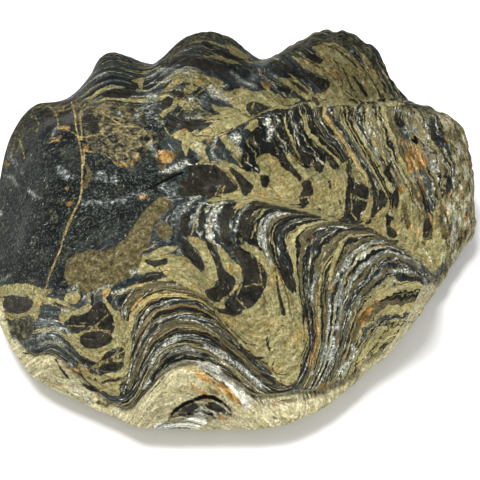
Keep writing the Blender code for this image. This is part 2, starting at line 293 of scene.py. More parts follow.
# Strokes as (x, y, radius) in pixels of the photograph.
STROKES: dict[Mark, list[Stroke]] = {
    Mark.HUMP: [
        [(5, 225, 60), (50, 190, 75), (105, 185, 55), (140, 185, 32), (160, 182, 14), (172, 178, 5)],
        [(60, 130, 30), (95, 135, 30), (125, 130, 28), (150, 132, 22), (160, 140, 10)],
        [(20, 255, 24), (45, 258, 24), (62, 280, 14)],
        [(100, 210, 40), (118, 225, 20)],
    ],
    Mark.KHAKI_LAYERS: [
        [(330, 60, 14), (355, 70, 14), (375, 85, 10)],
        [(350, 130, 12), (375, 150, 14), (395, 170, 14)],
        [(20, 290, 6), (40, 295, 6)],
        [(125, 330, 10), (130, 360, 8), (133, 385, 6)],
        [(150, 265, 10), (180, 262, 10)],
    ],
    Mark.WHITE_LAYERS: [
        [(270, 130, 10), (300, 130, 10), (320, 135, 8)],
        [(180, 215, 8), (210, 225, 8), (240, 225, 6), (265, 230, 6)],
        [(150, 370, 8), (185, 350, 8), (230, 375, 8), (290, 398, 6)],
        [(55, 335, 8), (50, 330, 8)],
        [(155, 75, 8), (180, 72, 6)],
        [(440, 130, 10), (460, 165, 8), (465, 200, 6)],
        [(150, 150, 8), (165, 175, 8), (165, 190, 6)],
    ],
    Mark.NET: [
        [(60, 112, 8), (85, 112, 12), (110, 112, 10), (135, 115, 8)],
        [(112, 130, 8), (130, 145, 10), (148, 140, 8)],
    ],
    Mark.FILM: [
        [(262, 52, 3), (275, 52, 4), (290, 50, 4), (300, 47, 4)],
        [(305, 43, 4), (320, 38, 4), (340, 38, 4), (358, 43, 4), (370, 54, 4), (376, 68, 3)],
        [(186, 114, 3), (196, 112, 4), (207, 114, 3)],
        [(400, 104, 3), (415, 106, 3), (430, 112, 3)],
    ],
    Mark.GREY: [
        [(85, 204, 2), (110, 202, 3), (130, 197, 3), (145, 192, 2)],
        [(42, 325, 3), (52, 321, 3), (60, 326, 2)],
        [(197, 142, 2), (197, 150, 3), (199, 158, 3)],
        [(165, 188, 5), (173, 191, 4), (168, 200, 4)],
        [(403, 128, 2), (410, 130, 3), (418, 129, 2)],
        [(428, 162, 4), (434, 168, 3)], [(415, 177, 4), (424, 179, 3)], [(426, 152, 4), (431, 153, 3)],
        [(155, 100, 4), (145, 108, 4), (160, 122, 4)],
        [(205, 98, 3), (200, 104, 3)],
        [(150, 145, 3), (155, 152, 2)],
        [(160, 429, 3), (172, 430, 4)], [(183, 416, 3), (190, 411, 3), (200, 408, 3), (210, 413, 3)],
        [(262, 385, 5), (250, 380, 4)], [(285, 395, 2), (300, 391, 2)],
        [(340, 290, 4), (338, 300, 4), (336, 312, 4)],
        [(325, 345, 3), (324, 360, 3)],
        [(14, 340, 2), (22, 344, 2), (28, 346, 2)],
        [(451, 205, 2), (456, 225, 2), (452, 242, 2)], [(416, 205, 1.5), (418, 222, 1.5)],
        [(176, 222, 3), (178, 212, 3), (186, 204, 2)],
        [(10, 155, 2), (20, 170, 2)], [(100, 175, 4), (115, 180, 3)], [(60, 170, 4), (70, 178, 4)],
    ],
    Mark.BROWN: [
        [(85, 186, 2.5)], [(87, 165, 1.4), (89, 174, 2.2), (87, 182, 1.6)], [(404, 205, 3), (408, 226, 3)], [(410, 184, 2), (416, 192, 2.5), (420, 202, 2)],
        [(200, 377, 1.5), (210, 373, 1)], [(222, 384, 2), (231, 393, 2)], [(208, 389, 2), (218, 394, 1.5)], [(440, 218, 3), (446, 236, 4)], [(428, 250, 3)],
        [(378, 256, 2), (383, 257, 2.2)],
        [(212, 145, 1), (216, 147, 1.6)],
        [(98, 402, 1.5), (106, 405, 1.8), (112, 403, 1.2)],
        [(160, 166, 2), (164, 168, 2)],
    ],
    # Black lenses; those under the right fold's crest are painted shade of the overhang.
    Mark.LENS_AND_SHADE: [
        [(329, 182, 1.5), (330, 186, 1.5), (332, 193, 0.6)],
        [(319.5, 209.5, 1.8)],
        [(421, 241, 1.2), (426, 245, 1.4)],
        [(350, 100, 1), (356, 101, 1.2)], [(352, 76, 0.8), (358, 82, 1)],
        [(28, 120, 3.5), (34, 123, 3.5)], [(62, 116, 4), (70, 118, 5)],
        [(88, 114, 5), (90, 124, 7), (95, 130, 5)],
        [(100, 384, 1.2), (106, 381, 1.5), (116, 380, 1.5), (122, 377, 1.2)],
        [(86, 377, 0.8), (96, 380, 1)],
        [(56, 360, 1), (61, 369, 1.3), (68, 378, 1)],
        [(275, 266, 0.8), (278, 288, 1.2), (281, 303, 1.6), (284, 314, 2.2)],
        [(303, 305, 1.2), (304, 316, 1.5), (303, 326, 1)],
        [(262, 384, 1), (280, 386, 0.8)],
        [(240, 346, 1.2), (245, 353, 2), (252, 358, 2), (264, 358, 1)],
        [(262, 374, 1.5), (268, 377, 2), (275, 383, 1)],
        [(146, 261, 2), (154, 264, 3.5), (165, 261, 3)],
        [(141, 281, 3), (150, 277, 5), (160, 275, 4)],
        [(186, 214, 4), (183, 226, 4), (186, 236, 2)],
        [(202, 207, 2), (202, 222, 4), (204, 236, 2)],
        [(228, 207, 5), (225, 220, 5), (223, 234, 5), (228, 243, 4)],
        [(253, 207, 3), (247, 216, 4), (243, 228, 4), (246, 238, 2)],
        [(262, 205, 1.5), (278, 210, 1.2), (300, 213, 1.2), (320, 217, 1)],
        [(397, 117, 3), (400, 124, 4)], [(432, 128, 2), (434, 138, 3)],
        [(392, 160, 1), (386, 172, 3), (392, 180, 3)],
    ],
    Mark.SPAR: [
        [(216, 137, 1.2), (213.5, 145, 1.5), (212, 153, 1.7), (217, 160, 1.5), (222, 162, 0.8)],
        [(236, 147, 2), (240, 152, 2.5)],
        [(268, 123, 2), (271, 130, 3.5), (269, 140, 2)],
        [(187, 162, 3), (180, 166, 4), (170, 170, 2.5), (160, 172, 1.5)],
        [(191, 198, 1.5), (199, 197.5, 2)], [(206, 201, 1.2)],
        [(203, 203, 0.8), (198, 210, 1.2), (195, 217, 0.8)],
        [(193, 200, 1.2), (185, 208, 1.6), (180, 216, 1.2)],
        [(222, 203, 0.8), (215, 208, 1.6), (211, 215, 1.6)],
        [(216, 212, 2), (214, 220, 2.4), (217, 228, 2.4), (219, 235, 1.4)],
        [(206, 226, 2), (209, 234, 2), (212, 240, 1)],
        [(248, 205, 0.8), (241, 212, 1.2), (237, 222, 1.4), (235, 231, 1.6)],
        [(267, 221, 1.6), (263, 231, 2.6), (264, 240, 2.4), (266, 249, 1.4)],
        [(279, 214, 2), (271, 217, 1.6), (266, 224, 1)],
        [(266, 251, 1), (269, 258, 1), (272, 265, 1.8)],
        [(201, 233, 1.2)],
        [(148, 96, 2), (155, 95.5, 2.5)], [(158, 70, 1.5), (165, 70, 2.5)], [(226, 86.5, 1.8)],
        [(231, 72, 1), (243, 81, 1.4), (252, 86.5, 1.4)],
        [(186, 117.5, 0.8), (201, 117.5, 1)], [(272, 74, 1), (277, 77, 1.4)], [(191, 99, 2.5)], [(179, 124.5, 1)],
        [(137, 116, 2.5)], [(119, 113, 1.5)], [(328, 106, 1.6)], [(295, 126, 2)], [(253, 79, 1)],
        [(52, 138, 0.8), (54, 131, 0.8), (58, 127, 0.8)],
        [(5, 176, 0.8), (13, 178, 1), (17, 186, 0.8)], [(28, 189, 1.2), (34, 195, 1.2), (40, 198, 1)],
        [(0, 213, 2.5)], [(45, 154, 1)],
        [(343, 270, 2.5), (346, 265, 2.8), (350, 262, 1.8)], [(341, 279, 1.6), (340, 286, 1.4)],
        [(334, 327, 2.5), (338, 325, 2)], [(333, 338, 1.5), (333, 350, 2.5), (330, 362, 2.5)],
        [(312, 373, 2)], [(316, 252, 1.2)], [(318, 272, 1), (315, 282, 1.2), (311, 291, 1.5), (312, 302, 1)],
        [(355, 251, 1), (350, 256, 1.4), (344, 260, 1)],
        [(357, 303, 1.5), (360, 297, 1.5)], [(346, 313, 2)], [(362, 304, 1)],
        [(365, 265, 1.5), (369, 262, 1.6)], [(390, 284, 1.6), (394, 281, 2)], [(377, 257, 1.4)],
        [(418, 263, 1.8), (420, 267, 1.6), (426, 264, 1)], [(424, 279, 0.8), (427, 287, 1), (430, 294, 0.8)],
        [(354, 350, 2)], [(340, 372, 2), (346, 364, 2.5)], [(373, 337, 1)],
        [(342, 270, 1)], [(375, 278, 1.6)], [(362, 249, 1.6), (370, 247, 1)],
        [(392, 271, 1.6), (405, 271, 2), (415, 273, 1.4)], [(357, 350, 2)], [(366, 358, 2)], [(363, 338, 2)],
        [(352, 345, 1.4), (356, 352, 1.4), (350, 362, 1.6), (345, 372, 1.6), (338, 380, 1.2)],
        [(448, 208, 1.4)], [(455, 220, 1.6), (453, 236, 1.4)], [(442, 248, 1.2)],
        [(150, 366, 1.4), (156, 354, 1.8), (166, 344, 2), (180, 338, 1.8)],
        [(205, 346, 1.8), (216, 352, 2.6), (228, 359, 3), (240, 367, 3), (252, 377, 2.6), (262, 386, 2)],
        [(170, 352, 1.2), (186, 348, 1.4), (200, 354, 1.4)],
        [(38, 338, 1.2), (45, 333, 1.2), (56, 328, 1.4), (66, 329, 1.2), (69, 335, 1.2)],
        [(38, 340, 1), (50, 339, 1), (60, 342, 1), (66, 350, 1)],
        [(70, 364, 2), (72, 368, 1)], [(73, 380, 1), (76, 388, 1.2), (82, 396, 1.2), (90, 402, 1.2)],
        [(85, 366, 1.2)], [(86, 391, 1.5), (90, 396, 1.5)], [(62, 309.5, 1.5), (68, 310.5, 2)],
        [(83, 298, 1.5), (88, 296, 1.6)], [(94, 292, 1), (104, 287, 1.4), (109, 285, 1)],
        [(69, 291, 1.5), (77, 286, 1.6)], [(112, 293, 1.4), (121, 291, 1.6), (129, 289, 1)],
        [(0, 281, 0.8), (10, 276, 0.8)],
        [(130, 272, 1.5), (138, 271, 2)], [(177, 284, 1.2)], [(115, 409, 2), (120, 408, 1)],
        [(126, 314, 1.6), (126, 307, 1)], [(137, 314, 1.2), (134, 322, 1.2)],
        [(144, 388, 2), (150, 382, 2)], [(405, 132, 1.5), (414, 131, 1.5)], [(375, 148, 2), (378, 153, 1.5)],
        [(459, 143, 1), (462, 152, 1.8)], [(465, 168, 1.5)], [(422, 184, 1.2)], [(436, 169, 1.5)],
        [(352, 51, 1.6)], [(465, 210, 1.2)], [(427, 122, 1.5)], [(400, 110, 1), (412, 116, 1)],
        [(98, 77, 0.8), (106, 73, 0.8)],
    ],
    Mark.OCHRE: [
        [(61, 128, 1.5), (68, 128, 1.8)], [(51, 140, 1), (57, 140, 1.8), (60, 137, 1)],
        [(86, 147, 2.2), (86, 149, 2)], [(71, 203, 2), (68, 205, 1.5)], [(67, 188, 1.4)], [(51, 211, 1)],
        [(116, 163, 1), (123, 166, 1.5), (131, 164, 1.5), (137, 160, 1.6), (138, 154, 1)],
        [(185, 132.5, 3)], [(264, 83, 2), (267, 86, 3)], [(209, 134, 1.4)], [(208, 141, 0.8), (212, 140, 0.8)],
        [(314, 320, 1), (317, 328, 2), (318, 333, 1.5), (316, 345, 1.6), (313, 357, 2.2), (309, 365, 1.8)],
        [(339, 332, 0.8), (337, 343, 1)], [(334, 283, 0.8), (332, 293, 0.8)],
        [(412, 226, 2.5), (416, 233, 3)], [(401, 190, 3.5)], [(418, 195, 2)],
        [(308, 245, 0.8), (313, 238, 0.6)],
        [(358, 322, 1.5), (362, 313, 2), (370, 306, 1.5)],
        [(378, 301, 2), (372, 308, 2), (366, 316, 2), (362, 326, 1.5)],
        [(443, 206, 1.6), (449, 215, 1.4)], [(456, 229, 1.4)],
        [(197, 372, 2.5), (206, 380, 3.5), (216, 385, 3.5), (226, 391, 4), (234, 398, 3.5), (240, 404, 2)],
        [(189, 382, 1.2), (196, 390, 2), (206, 394, 2)], [(186, 370, 0.8), (193, 367, 1.2)],
        [(205, 399, 1.2), (215, 397, 1.6)], [(176, 392, 0.8), (185, 389, 1)],
        [(322, 66, 1), (332, 72, 1.6), (340, 80, 1.4)], [(350, 62, 1.2)], [(300, 58, 1), (308, 64, 1.2)],
        [(419, 176, 1.4), (423, 188, 1.6)], [(429, 215, 1.4), (434, 224, 1.6)], [(420, 232, 1.2)],
        [(331, 118, 1), (328, 124, 1)], [(337, 135, 0.8), (345, 147, 0.8), (353, 158, 1.2), (360, 165, 1)],
        [(399, 142, 1.2), (405, 141.5, 1.2), (409, 145, 1.3), (407, 150, 1)],
        [(368, 152, 1.2)], [(400, 156, 0.8), (399, 162, 0.8)], [(446, 163, 1)], [(447, 196, 1.2), (455, 191, 1)],
        [(457, 177, 1.5)], [(465, 185, 1.5)], [(376, 246, 0.8), (382, 246, 0.8)],
        [(100, 294, 0.6), (106, 290, 2), (104, 298, 1)], [(75, 372, 2.6), (79, 367, 1.6)], [(85, 372, 2.2)],
        [(142, 298, 1.5), (137, 303, 1.5), (131, 309, 1.2)],
        [(60, 384, 1.5), (66, 386, 1)], [(100, 392, 1)],
        [(188, 236, 0.8), (196, 241, 0.8)], [(3, 162, 1), (8, 165, 1)],
        [(140, 198, 1.6), (146, 197, 1.6)], [(366, 68, 1)], [(366, 82, 1.4)],
        [(228, 264, 1), (231, 272, 1.2)], [(163, 255, 1.5)],
    ],
    # Open cracks and a furrow, drawn as near-black painted shade.
    Mark.CRACK_SHADE: [
        [(168, 421, 0.8), (174, 411, 1.6), (184, 404, 2), (194, 400, 2.2), (203, 396.5, 2.4), (212, 397, 2.2),
         (222, 402, 1.6), (231, 410, 0.8)],
        [(188, 414, 1.4), (200, 411, 1), (212, 414, 1.6)],
        [(145, 190, 0.8), (160, 183, 1.2), (176, 175, 1.8), (184, 172, 0.8)],
        [(360, 320, 0.6), (364, 315, 0.8)],
        [(412, 140, 1.5), (417, 143, 1.8), (415, 137, 1.5)],
    ],
}

# Filled patches as outlines in pixels of the photograph.
PATCHES: dict[Mark, list[list[Plan]]] = {
    Mark.RIGHT_FOLD: [
        [(252, 122), (262, 113), (280, 106), (300, 102), (350, 102), (400, 98), (440, 106), (482, 130),
         (484, 240), (440, 264), (425, 252), (400, 242), (372, 228), (345, 222), (300, 212), (262, 202),
         (238, 180), (240, 160), (246, 140)],
    ],
    Mark.RIGHT_FRONT_FOLD: [
        [(232, 202), (262, 203), (300, 212), (345, 222), (372, 228), (400, 242), (425, 252), (440, 264),
         (432, 300), (428, 325), (400, 352), (350, 378), (310, 392), (298, 386), (306, 345), (300, 300),
         (285, 285), (262, 262), (240, 250), (232, 230)],
    ],
    Mark.FRONT_FOLD: [
        [(118, 300), (128, 288), (145, 281), (165, 278), (185, 279), (204, 292), (222, 312), (245, 340),
         (262, 358), (285, 388), (306, 388), (290, 402), (258, 408), (238, 402), (215, 384), (196, 366),
         (178, 362), (160, 376), (148, 398), (128, 414), (116, 410), (124, 385), (122, 350), (120, 320)],
    ],
    Mark.NET: [
        [(92, 116), (106, 110), (122, 116), (136, 124), (146, 132), (152, 142), (150, 152), (142, 154),
         (138, 161), (130, 165), (122, 166), (115, 160), (108, 154), (96, 150), (88, 144), (86, 130)],
    ],
    Mark.FILM: [
        [(0, 176), (0, 160), (8, 142), (16, 125), (25, 112), (36, 104), (48, 100), (56, 104), (50, 108),
         (38, 110), (30, 115), (25, 122), (22, 134), (25, 150), (18, 154), (12, 162), (4, 172)],
        [(158, 66), (162, 50), (172, 41), (185, 36), (205, 29), (222, 28), (236, 32), (248, 42), (254, 52),
         (244, 50), (228, 41), (205, 38), (190, 42), (180, 52), (172, 60), (164, 70)],
        [(6, 318), (14, 321), (22, 318), (31, 316), (34, 322), (32, 332), (28, 340), (20, 342), (12, 338), (8, 328)],
    ],
    Mark.ROUGH: [
        [(438, 110), (455, 112), (467, 122), (474, 150), (480, 180), (480, 205), (472, 232), (462, 242),
         (460, 215), (452, 200), (455, 185), (456, 165), (450, 150), (444, 135), (438, 122)],
        [(398, 102), (415, 103), (436, 110), (436, 118), (420, 116), (402, 112)],
        [(166, 424), (170, 412), (180, 404), (190, 399), (200, 397), (212, 398), (222, 402), (230, 409),
         (234, 417), (226, 420), (214, 420), (200, 424), (186, 428), (172, 430)],
        [(242, 391), (256, 396), (270, 400), (290, 399), (306, 393), (318, 386), (328, 380), (330, 384),
         (318, 396), (304, 402), (286, 406), (266, 407), (250, 402)],
        [(438, 200), (452, 198), (464, 212), (466, 236), (454, 256), (444, 262), (441, 235)],
    ],
    Mark.CREAM: [
        [(196, 361), (208, 362), (218, 366), (224, 374), (234, 382), (244, 390), (252, 400), (250, 409),
         (242, 408), (236, 396), (226, 384), (216, 378), (206, 371), (198, 366)],
        [(152, 425), (165, 421), (175, 424), (190, 418), (198, 411), (206, 414), (207, 424), (190, 431),
         (170, 436), (160, 433)],
    ],
    Mark.KHAKI: [
        [(209, 160), (218, 163), (224, 160), (231, 163), (238, 167), (246, 172), (253, 171), (259, 174),
         (261, 170), (258, 165), (255, 160), (260, 156), (268, 153), (273, 156), (278, 160), (281, 166),
         (286, 170), (293, 173), (299, 179), (299, 187), (303, 191), (298, 196), (300, 202), (296, 205),
         (303, 207), (314, 208), (314, 213), (300, 211), (288, 208), (276, 205), (264, 202), (256, 201),
         (250, 202), (246, 205), (241, 209), (237, 210), (234, 207), (237, 203), (234, 200), (222, 200),
         (212, 203), (207, 201), (212, 198), (222, 197), (217, 195), (222, 193), (232, 193), (238, 189),
         (237, 184), (229, 177), (222, 170), (214, 164)],
        [(289, 153), (296, 160), (303, 168), (309, 169), (313, 166), (317, 173), (322, 173), (325, 164),
         (328, 160), (332, 168), (338, 170), (342, 163), (347, 160), (348, 175), (346, 190), (345, 205),
         (344, 214), (338, 221), (328, 221), (316, 216), (306, 212), (303, 205), (309, 204), (311, 198),
         (304, 196), (303, 191), (300, 189), (299, 181), (303, 178), (297, 172), (291, 164), (286, 156)],
        [(350, 158), (356, 168), (362, 176), (370, 184), (374, 198), (374, 210), (370, 218), (361, 222),
         (362, 212), (367, 206), (368, 199), (370, 190), (362, 182), (355, 182), (352, 172)],
        [(376, 214), (383, 208), (388, 204), (391, 212), (396, 216), (402, 222), (406, 230), (402, 240),
         (394, 240), (386, 240), (380, 236), (372, 228), (360, 226), (368, 224)],
        [(400, 182), (408, 188), (412, 200), (418, 210), (424, 216), (423, 230), (424, 240), (432, 240),
         (433, 222), (434, 210), (438, 204), (441, 212), (443, 226), (446, 240), (447, 252), (440, 266),
         (430, 276), (422, 262), (410, 256), (402, 250), (396, 244), (404, 238),
         (407, 228), (402, 215), (397, 208), (399, 195)],
        [(160, 262), (166, 260), (172, 257), (180, 258), (190, 262), (197, 268), (202, 273), (205, 268),
         (202, 258), (197, 250), (190, 243), (188, 236), (197, 237), (206, 243), (212, 252), (216, 264),
         (218, 278), (214, 286), (208, 289), (204, 291), (208, 297), (203, 298), (196, 292), (188, 288),
         (180, 284), (172, 280), (165, 275), (160, 268)],
        [(217, 246), (223, 249), (230, 257), (237, 264), (241, 268), (242, 280), (240, 286), (234, 293),
         (227, 299), (224, 304), (226, 308), (220, 309), (214, 305), (216, 300), (222, 299), (229, 295),
         (234, 288), (236, 280), (233, 276), (227, 272), (223, 266), (220, 257)],
        [(239, 245), (247, 243), (256, 247), (264, 254), (270, 261), (276, 266), (281, 276), (286, 287),
         (292, 294), (297, 291), (300, 298), (303, 310), (306, 322), (309, 335), (308, 345), (304, 352),
         (302, 362), (300, 374), (296, 382), (289, 386), (281, 384), (274, 377), (270, 371), (268, 364),
         (260, 360), (250, 352), (238, 341), (226, 327), (214, 312), (216, 309), (224, 313), (234, 317),
         (241, 314), (244, 309), (250, 309), (256, 303), (262, 295), (266, 286), (268, 279), (266, 272),
         (260, 262), (252, 254), (245, 250)],
        [(211, 103), (218, 107), (228, 107), (238, 110), (246, 116), (252, 119), (246, 122), (236, 128),
         (224, 134), (212, 138), (200, 141), (190, 140), (196, 135), (204, 130), (212, 124), (220, 120),
         (208, 119), (212, 116), (222, 114), (214, 110)],
        [(170, 136), (178, 131), (186, 129), (192, 134), (196, 139), (190, 144), (186, 156), (182, 150), (182, 142)],
        [(245, 128), (250, 121), (257, 119), (258, 126), (252, 131)],
        [(236, 90), (243, 88), (254, 92), (268, 90), (275, 93), (283, 97), (292, 99), (297, 97), (300, 100),
         (296, 106), (288, 109), (278, 108), (268, 106), (260, 103), (250, 102), (240, 101), (233, 99)],
        [(276, 77), (286, 78), (296, 80), (304, 86), (312, 92), (318, 97), (324, 106), (312, 108), (306, 100),
         (296, 92), (290, 88), (284, 84)],
        [(312, 48), (322, 43), (335, 43), (345, 49), (355, 58), (362, 70), (368, 85), (380, 98), (395, 100),
         (405, 104), (395, 106), (375, 103), (350, 105), (330, 106), (322, 106), (318, 98), (314, 94),
         (325, 92), (330, 85), (328, 78), (318, 74), (305, 69), (295, 60), (290, 56), (300, 57), (312, 63),
         (322, 62), (326, 58), (318, 53)],
        [(368, 66), (374, 70), (382, 84), (390, 94), (398, 100), (386, 98), (378, 88), (370, 76)],
        [(226, 44), (232, 44), (240, 50), (248, 56), (249, 60), (240, 59), (232, 55), (228, 50)],
        [(200, 50), (206, 54), (212, 56), (218, 52), (226, 58), (236, 61), (242, 65), (234, 64), (226, 62),
         (218, 60), (212, 58), (204, 56)],
        [(170, 77), (180, 74), (188, 77), (194, 79), (205, 80), (210, 82), (204, 86), (197, 86), (190, 82),
         (183, 82), (175, 87), (165, 92), (159, 93), (166, 88), (172, 82)],
        [(182, 92), (186, 86), (192, 84), (198, 88), (192, 93), (186, 94)],
        [(176, 97), (178, 101), (175, 107), (168, 113), (163, 118), (159, 115), (167, 108), (172, 102)],
        [(130, 81), (138, 78), (145, 78), (143, 84), (142, 90), (139, 88), (138, 83)],
        [(0, 286), (15, 284), (30, 284), (40, 288), (46, 292), (46, 300), (40, 306), (38, 320), (33, 318),
         (28, 315), (20, 317), (10, 320), (5, 317), (3, 311), (8, 313), (18, 314), (28, 311), (34, 305),
         (32, 299), (26, 295), (12, 295), (0, 297)],
        [(59, 318), (62, 308), (70, 311), (80, 309), (88, 303), (92, 306), (90, 311), (80, 316), (72, 315),
         (66, 322), (62, 324)],
        [(65, 295), (72, 291), (79, 293), (80, 299), (76, 304), (68, 303), (64, 300)],
        [(102, 290), (108, 286), (112, 288), (106, 298), (110, 305), (114, 310), (120, 312), (122, 325),
         (123, 340), (121, 347), (112, 349), (106, 352), (102, 358), (98, 363), (90, 360), (82, 356),
         (75, 349), (69, 342), (62, 336), (68, 332), (75, 334), (84, 331), (92, 329), (102, 329),
         (112, 333), (115, 326), (113, 316), (108, 309), (103, 303)],
        [(88, 370), (92, 373), (100, 376), (108, 373), (117, 372), (124, 366), (127, 372), (124, 378),
         (120, 386), (119, 396), (112, 396), (104, 391), (97, 388), (88, 382), (82, 374), (78, 364),
         (84, 366)],
        [(338, 246), (344, 242), (342, 248), (336, 262), (332, 278), (330, 290), (328, 290), (329, 275), (332, 260)],
        [(322, 260), (324, 264), (321, 285), (320, 305), (318, 305), (318, 290), (320, 272)],
        [(146, 256), (156, 249), (168, 246), (178, 246), (172, 252), (160, 256), (150, 259)],
        [(122, 318), (128, 322), (132, 340), (130, 358), (127, 374), (124, 364), (125, 348), (123, 335)],
    ],
    Mark.BROWN: [
        [(64, 276), (66, 262), (76, 254), (90, 250), (104, 252), (116, 246), (126, 238), (134, 226),
         (142, 214), (150, 206), (158, 198), (166, 196), (172, 202), (166, 212), (158, 220), (152, 230),
         (150, 242), (142, 252), (140, 264), (132, 274), (120, 282), (106, 286), (96, 291), (84, 294),
         (76, 288), (68, 284)],
        [(158, 224), (165, 221), (173, 228), (172, 236), (165, 241), (160, 238), (156, 232)],
        [(356, 315), (366, 306), (376, 300), (382, 302), (374, 310), (366, 318), (362, 328), (356, 336),
         (352, 342), (350, 336), (355, 326)],
    ],
    # Black lenses; the patches in the hollow under the right fold's crest are painted shade of the overhang.
    Mark.LENS_AND_SHADE: [
        [(186, 163), (192, 161), (200, 164), (210, 165), (218, 168), (226, 175), (232, 181), (238, 187),
         (236, 191), (228, 193), (218, 195), (205, 197), (192, 197), (180, 197), (178, 190), (182, 184),
         (188, 178), (188, 170)],
        [(227, 166), (233, 168), (241, 174), (248, 180), (254, 186), (252, 191), (247, 196), (242, 196),
         (241, 190), (240, 186), (236, 179), (231, 173)],
        [(260, 175), (264, 174), (269, 176), (270, 182), (267, 188), (262, 187), (261, 182)],
        [(281, 152), (288, 160), (294, 168), (300, 175), (303, 178), (299, 181), (292, 174), (285, 166), (278, 156)],
        [(304, 180), (309, 180), (313, 188), (313, 195), (309, 198), (303, 197), (300, 193), (303, 190), (301, 184)],
        [(301, 199), (307, 198), (309, 203), (305, 208), (300, 206)],
        [(297, 146), (305, 152), (312, 155), (313, 160), (309, 166), (304, 164), (299, 157), (295, 150)],
        [(313, 167), (314, 162), (318, 161), (322, 168), (321, 173), (316, 171)],
        [(314, 143), (322, 148), (330, 154), (334, 157), (336, 165), (338, 170), (334, 171), (330, 166),
         (327, 159), (320, 153)],
        [(346, 160), (349, 172), (351, 180), (353, 190), (352, 200), (351, 212), (356, 219), (358, 224),
         (348, 224), (338, 222), (344, 216), (345, 204), (346, 190), (348, 176), (345, 165)],
        [(357, 184), (362, 184), (368, 190), (369, 197), (366, 200), (361, 199), (357, 197), (353, 198), (352, 192)],
        [(354, 203), (358, 200), (364, 200), (367, 205), (365, 211), (360, 212), (360, 220), (355, 219),
         (351, 213), (352, 206)],
        [(371, 178), (374, 190), (376, 200), (377, 212), (374, 218), (370, 217), (372, 208), (373, 198), (371, 188)],
        [(365, 222), (372, 219), (370, 224), (364, 225)],
        [(379, 189), (383, 190), (388, 199), (386, 204), (380, 210), (378, 212), (379, 202)],
        [(396, 187), (399, 194), (399, 206), (397, 209), (393, 204), (391, 196)],
        [(386, 210), (389, 215), (395, 218), (391, 221), (390, 226), (395, 230), (398, 236), (395, 238),
         (388, 237), (386, 230), (386, 222), (385, 215)],
        [(425, 218), (432, 217), (433, 224), (430, 232), (428, 238), (423, 238), (423, 228)],
        [(447, 176), (452, 176), (452, 186), (449, 196), (445, 194), (446, 184)],
        [(206, 238), (212, 244), (218, 256), (222, 266), (226, 273), (234, 277), (236, 281), (233, 288),
         (228, 294), (222, 297), (220, 302), (214, 302), (208, 299), (206, 293), (212, 289), (218, 286),
         (219, 279), (216, 268), (212, 256), (207, 246)],
        [(226, 240), (233, 244), (240, 250), (250, 255), (258, 261), (264, 269), (267, 276), (266, 283),
         (262, 293), (256, 303), (248, 308), (243, 309), (240, 314), (234, 316), (226, 314), (218, 313),
         (215, 308), (222, 309), (228, 309), (230, 303), (237, 296), (241, 288), (243, 280), (243, 270),
         (240, 261), (234, 252)],
        [(181, 240), (187, 243), (192, 250), (198, 257), (202, 264), (202, 272), (196, 267), (190, 261),
         (184, 256), (182, 248)],
        [(278, 262), (286, 266), (292, 274), (297, 286), (294, 293), (289, 289), (284, 280), (280, 272)],
        [(272, 59), (280, 60), (288, 66), (296, 70), (303, 75), (305, 79), (298, 78), (290, 74), (280, 70), (273, 66)],
        [(302, 70), (310, 73), (320, 78), (328, 79), (330, 84), (327, 91), (321, 90), (314, 84), (307, 78)],
        [(308, 52), (316, 55), (324, 60), (320, 64), (312, 61), (305, 57)],
        [(277, 87), (283, 87), (292, 90), (291, 94), (284, 93), (278, 90)],
        [(291, 81), (298, 83), (304, 88), (310, 93), (307, 95), (300, 90), (294, 85)],
        [(311, 96), (317, 98), (320, 104), (318, 107), (315, 103)],
        [(357, 82), (362, 84), (366, 92), (370, 98), (366, 98), (361, 91)],
        [(382, 80), (386, 90), (388, 95), (384, 92)],
        [(172, 57), (185, 56), (200, 58), (214, 62), (226, 66), (232, 71), (222, 72), (208, 70), (195, 67),
         (182, 65), (172, 64)],
        [(201, 41), (208, 42), (216, 46), (211, 48), (204, 46)],
        [(212, 50), (222, 50), (232, 54), (240, 58), (246, 60), (238, 61), (228, 59), (216, 54)],
        [(200, 50), (208, 52), (213, 54), (208, 56), (202, 54)],
        [(160, 106), (163, 99), (169, 96), (174, 98), (173, 104), (168, 108), (162, 109)],
        [(170, 92), (178, 90), (183, 92), (186, 96), (180, 98), (172, 95)],
        [(166, 122), (174, 120), (184, 120), (194, 119), (204, 120), (208, 120), (200, 126), (194, 131),
         (186, 128), (178, 130), (170, 128)],
        [(246, 104), (254, 101), (262, 104), (270, 108), (266, 112), (256, 118), (252, 117), (246, 110)],
        [(100, 94), (108, 90), (120, 89), (132, 84), (137, 86), (135, 94), (128, 98), (115, 98), (104, 97)],
        [(42, 115), (48, 110), (53, 114), (56, 122), (52, 127), (45, 124)],
        [(2, 300), (8, 297), (20, 296), (28, 297), (33, 302), (32, 307), (27, 312), (18, 314), (8, 312), (3, 307)],
        [(60, 323), (66, 324), (70, 318), (74, 315), (80, 316), (88, 312), (93, 306), (99, 301), (104, 303),
         (108, 309), (113, 318), (115, 326), (113, 333), (104, 330), (96, 328), (84, 330), (76, 333),
         (70, 332), (72, 326)],
        [(80, 342), (79, 337), (84, 333), (92, 331), (100, 331), (108, 333), (113, 337), (113, 341),
         (107, 345), (100, 348), (92, 349), (85, 348), (81, 345)],
        [(103, 357), (108, 352), (116, 352), (122, 347), (125, 350), (125, 356), (122, 358), (115, 359),
         (108, 362), (102, 364), (98, 363), (101, 360)],
        [(99, 367), (105, 364), (114, 362), (122, 362), (123, 367), (116, 371), (108, 371), (102, 375), (98, 371)],
        [(76, 355), (82, 358), (90, 361), (98, 364), (97, 368), (94, 374), (90, 373), (88, 368), (82, 363)],
        [(80, 381), (88, 385), (96, 388), (101, 391), (98, 392), (90, 391), (84, 387)],
        [(128, 380), (127, 390), (123, 399), (120, 398), (123, 388), (125, 382)],
        [(176, 415), (184, 407), (193, 403), (200, 406), (193, 412), (184, 417)],
        [(204, 402), (213, 402), (221, 406), (228, 413), (217, 412), (208, 409)],
    ],
    Mark.SPAR: [
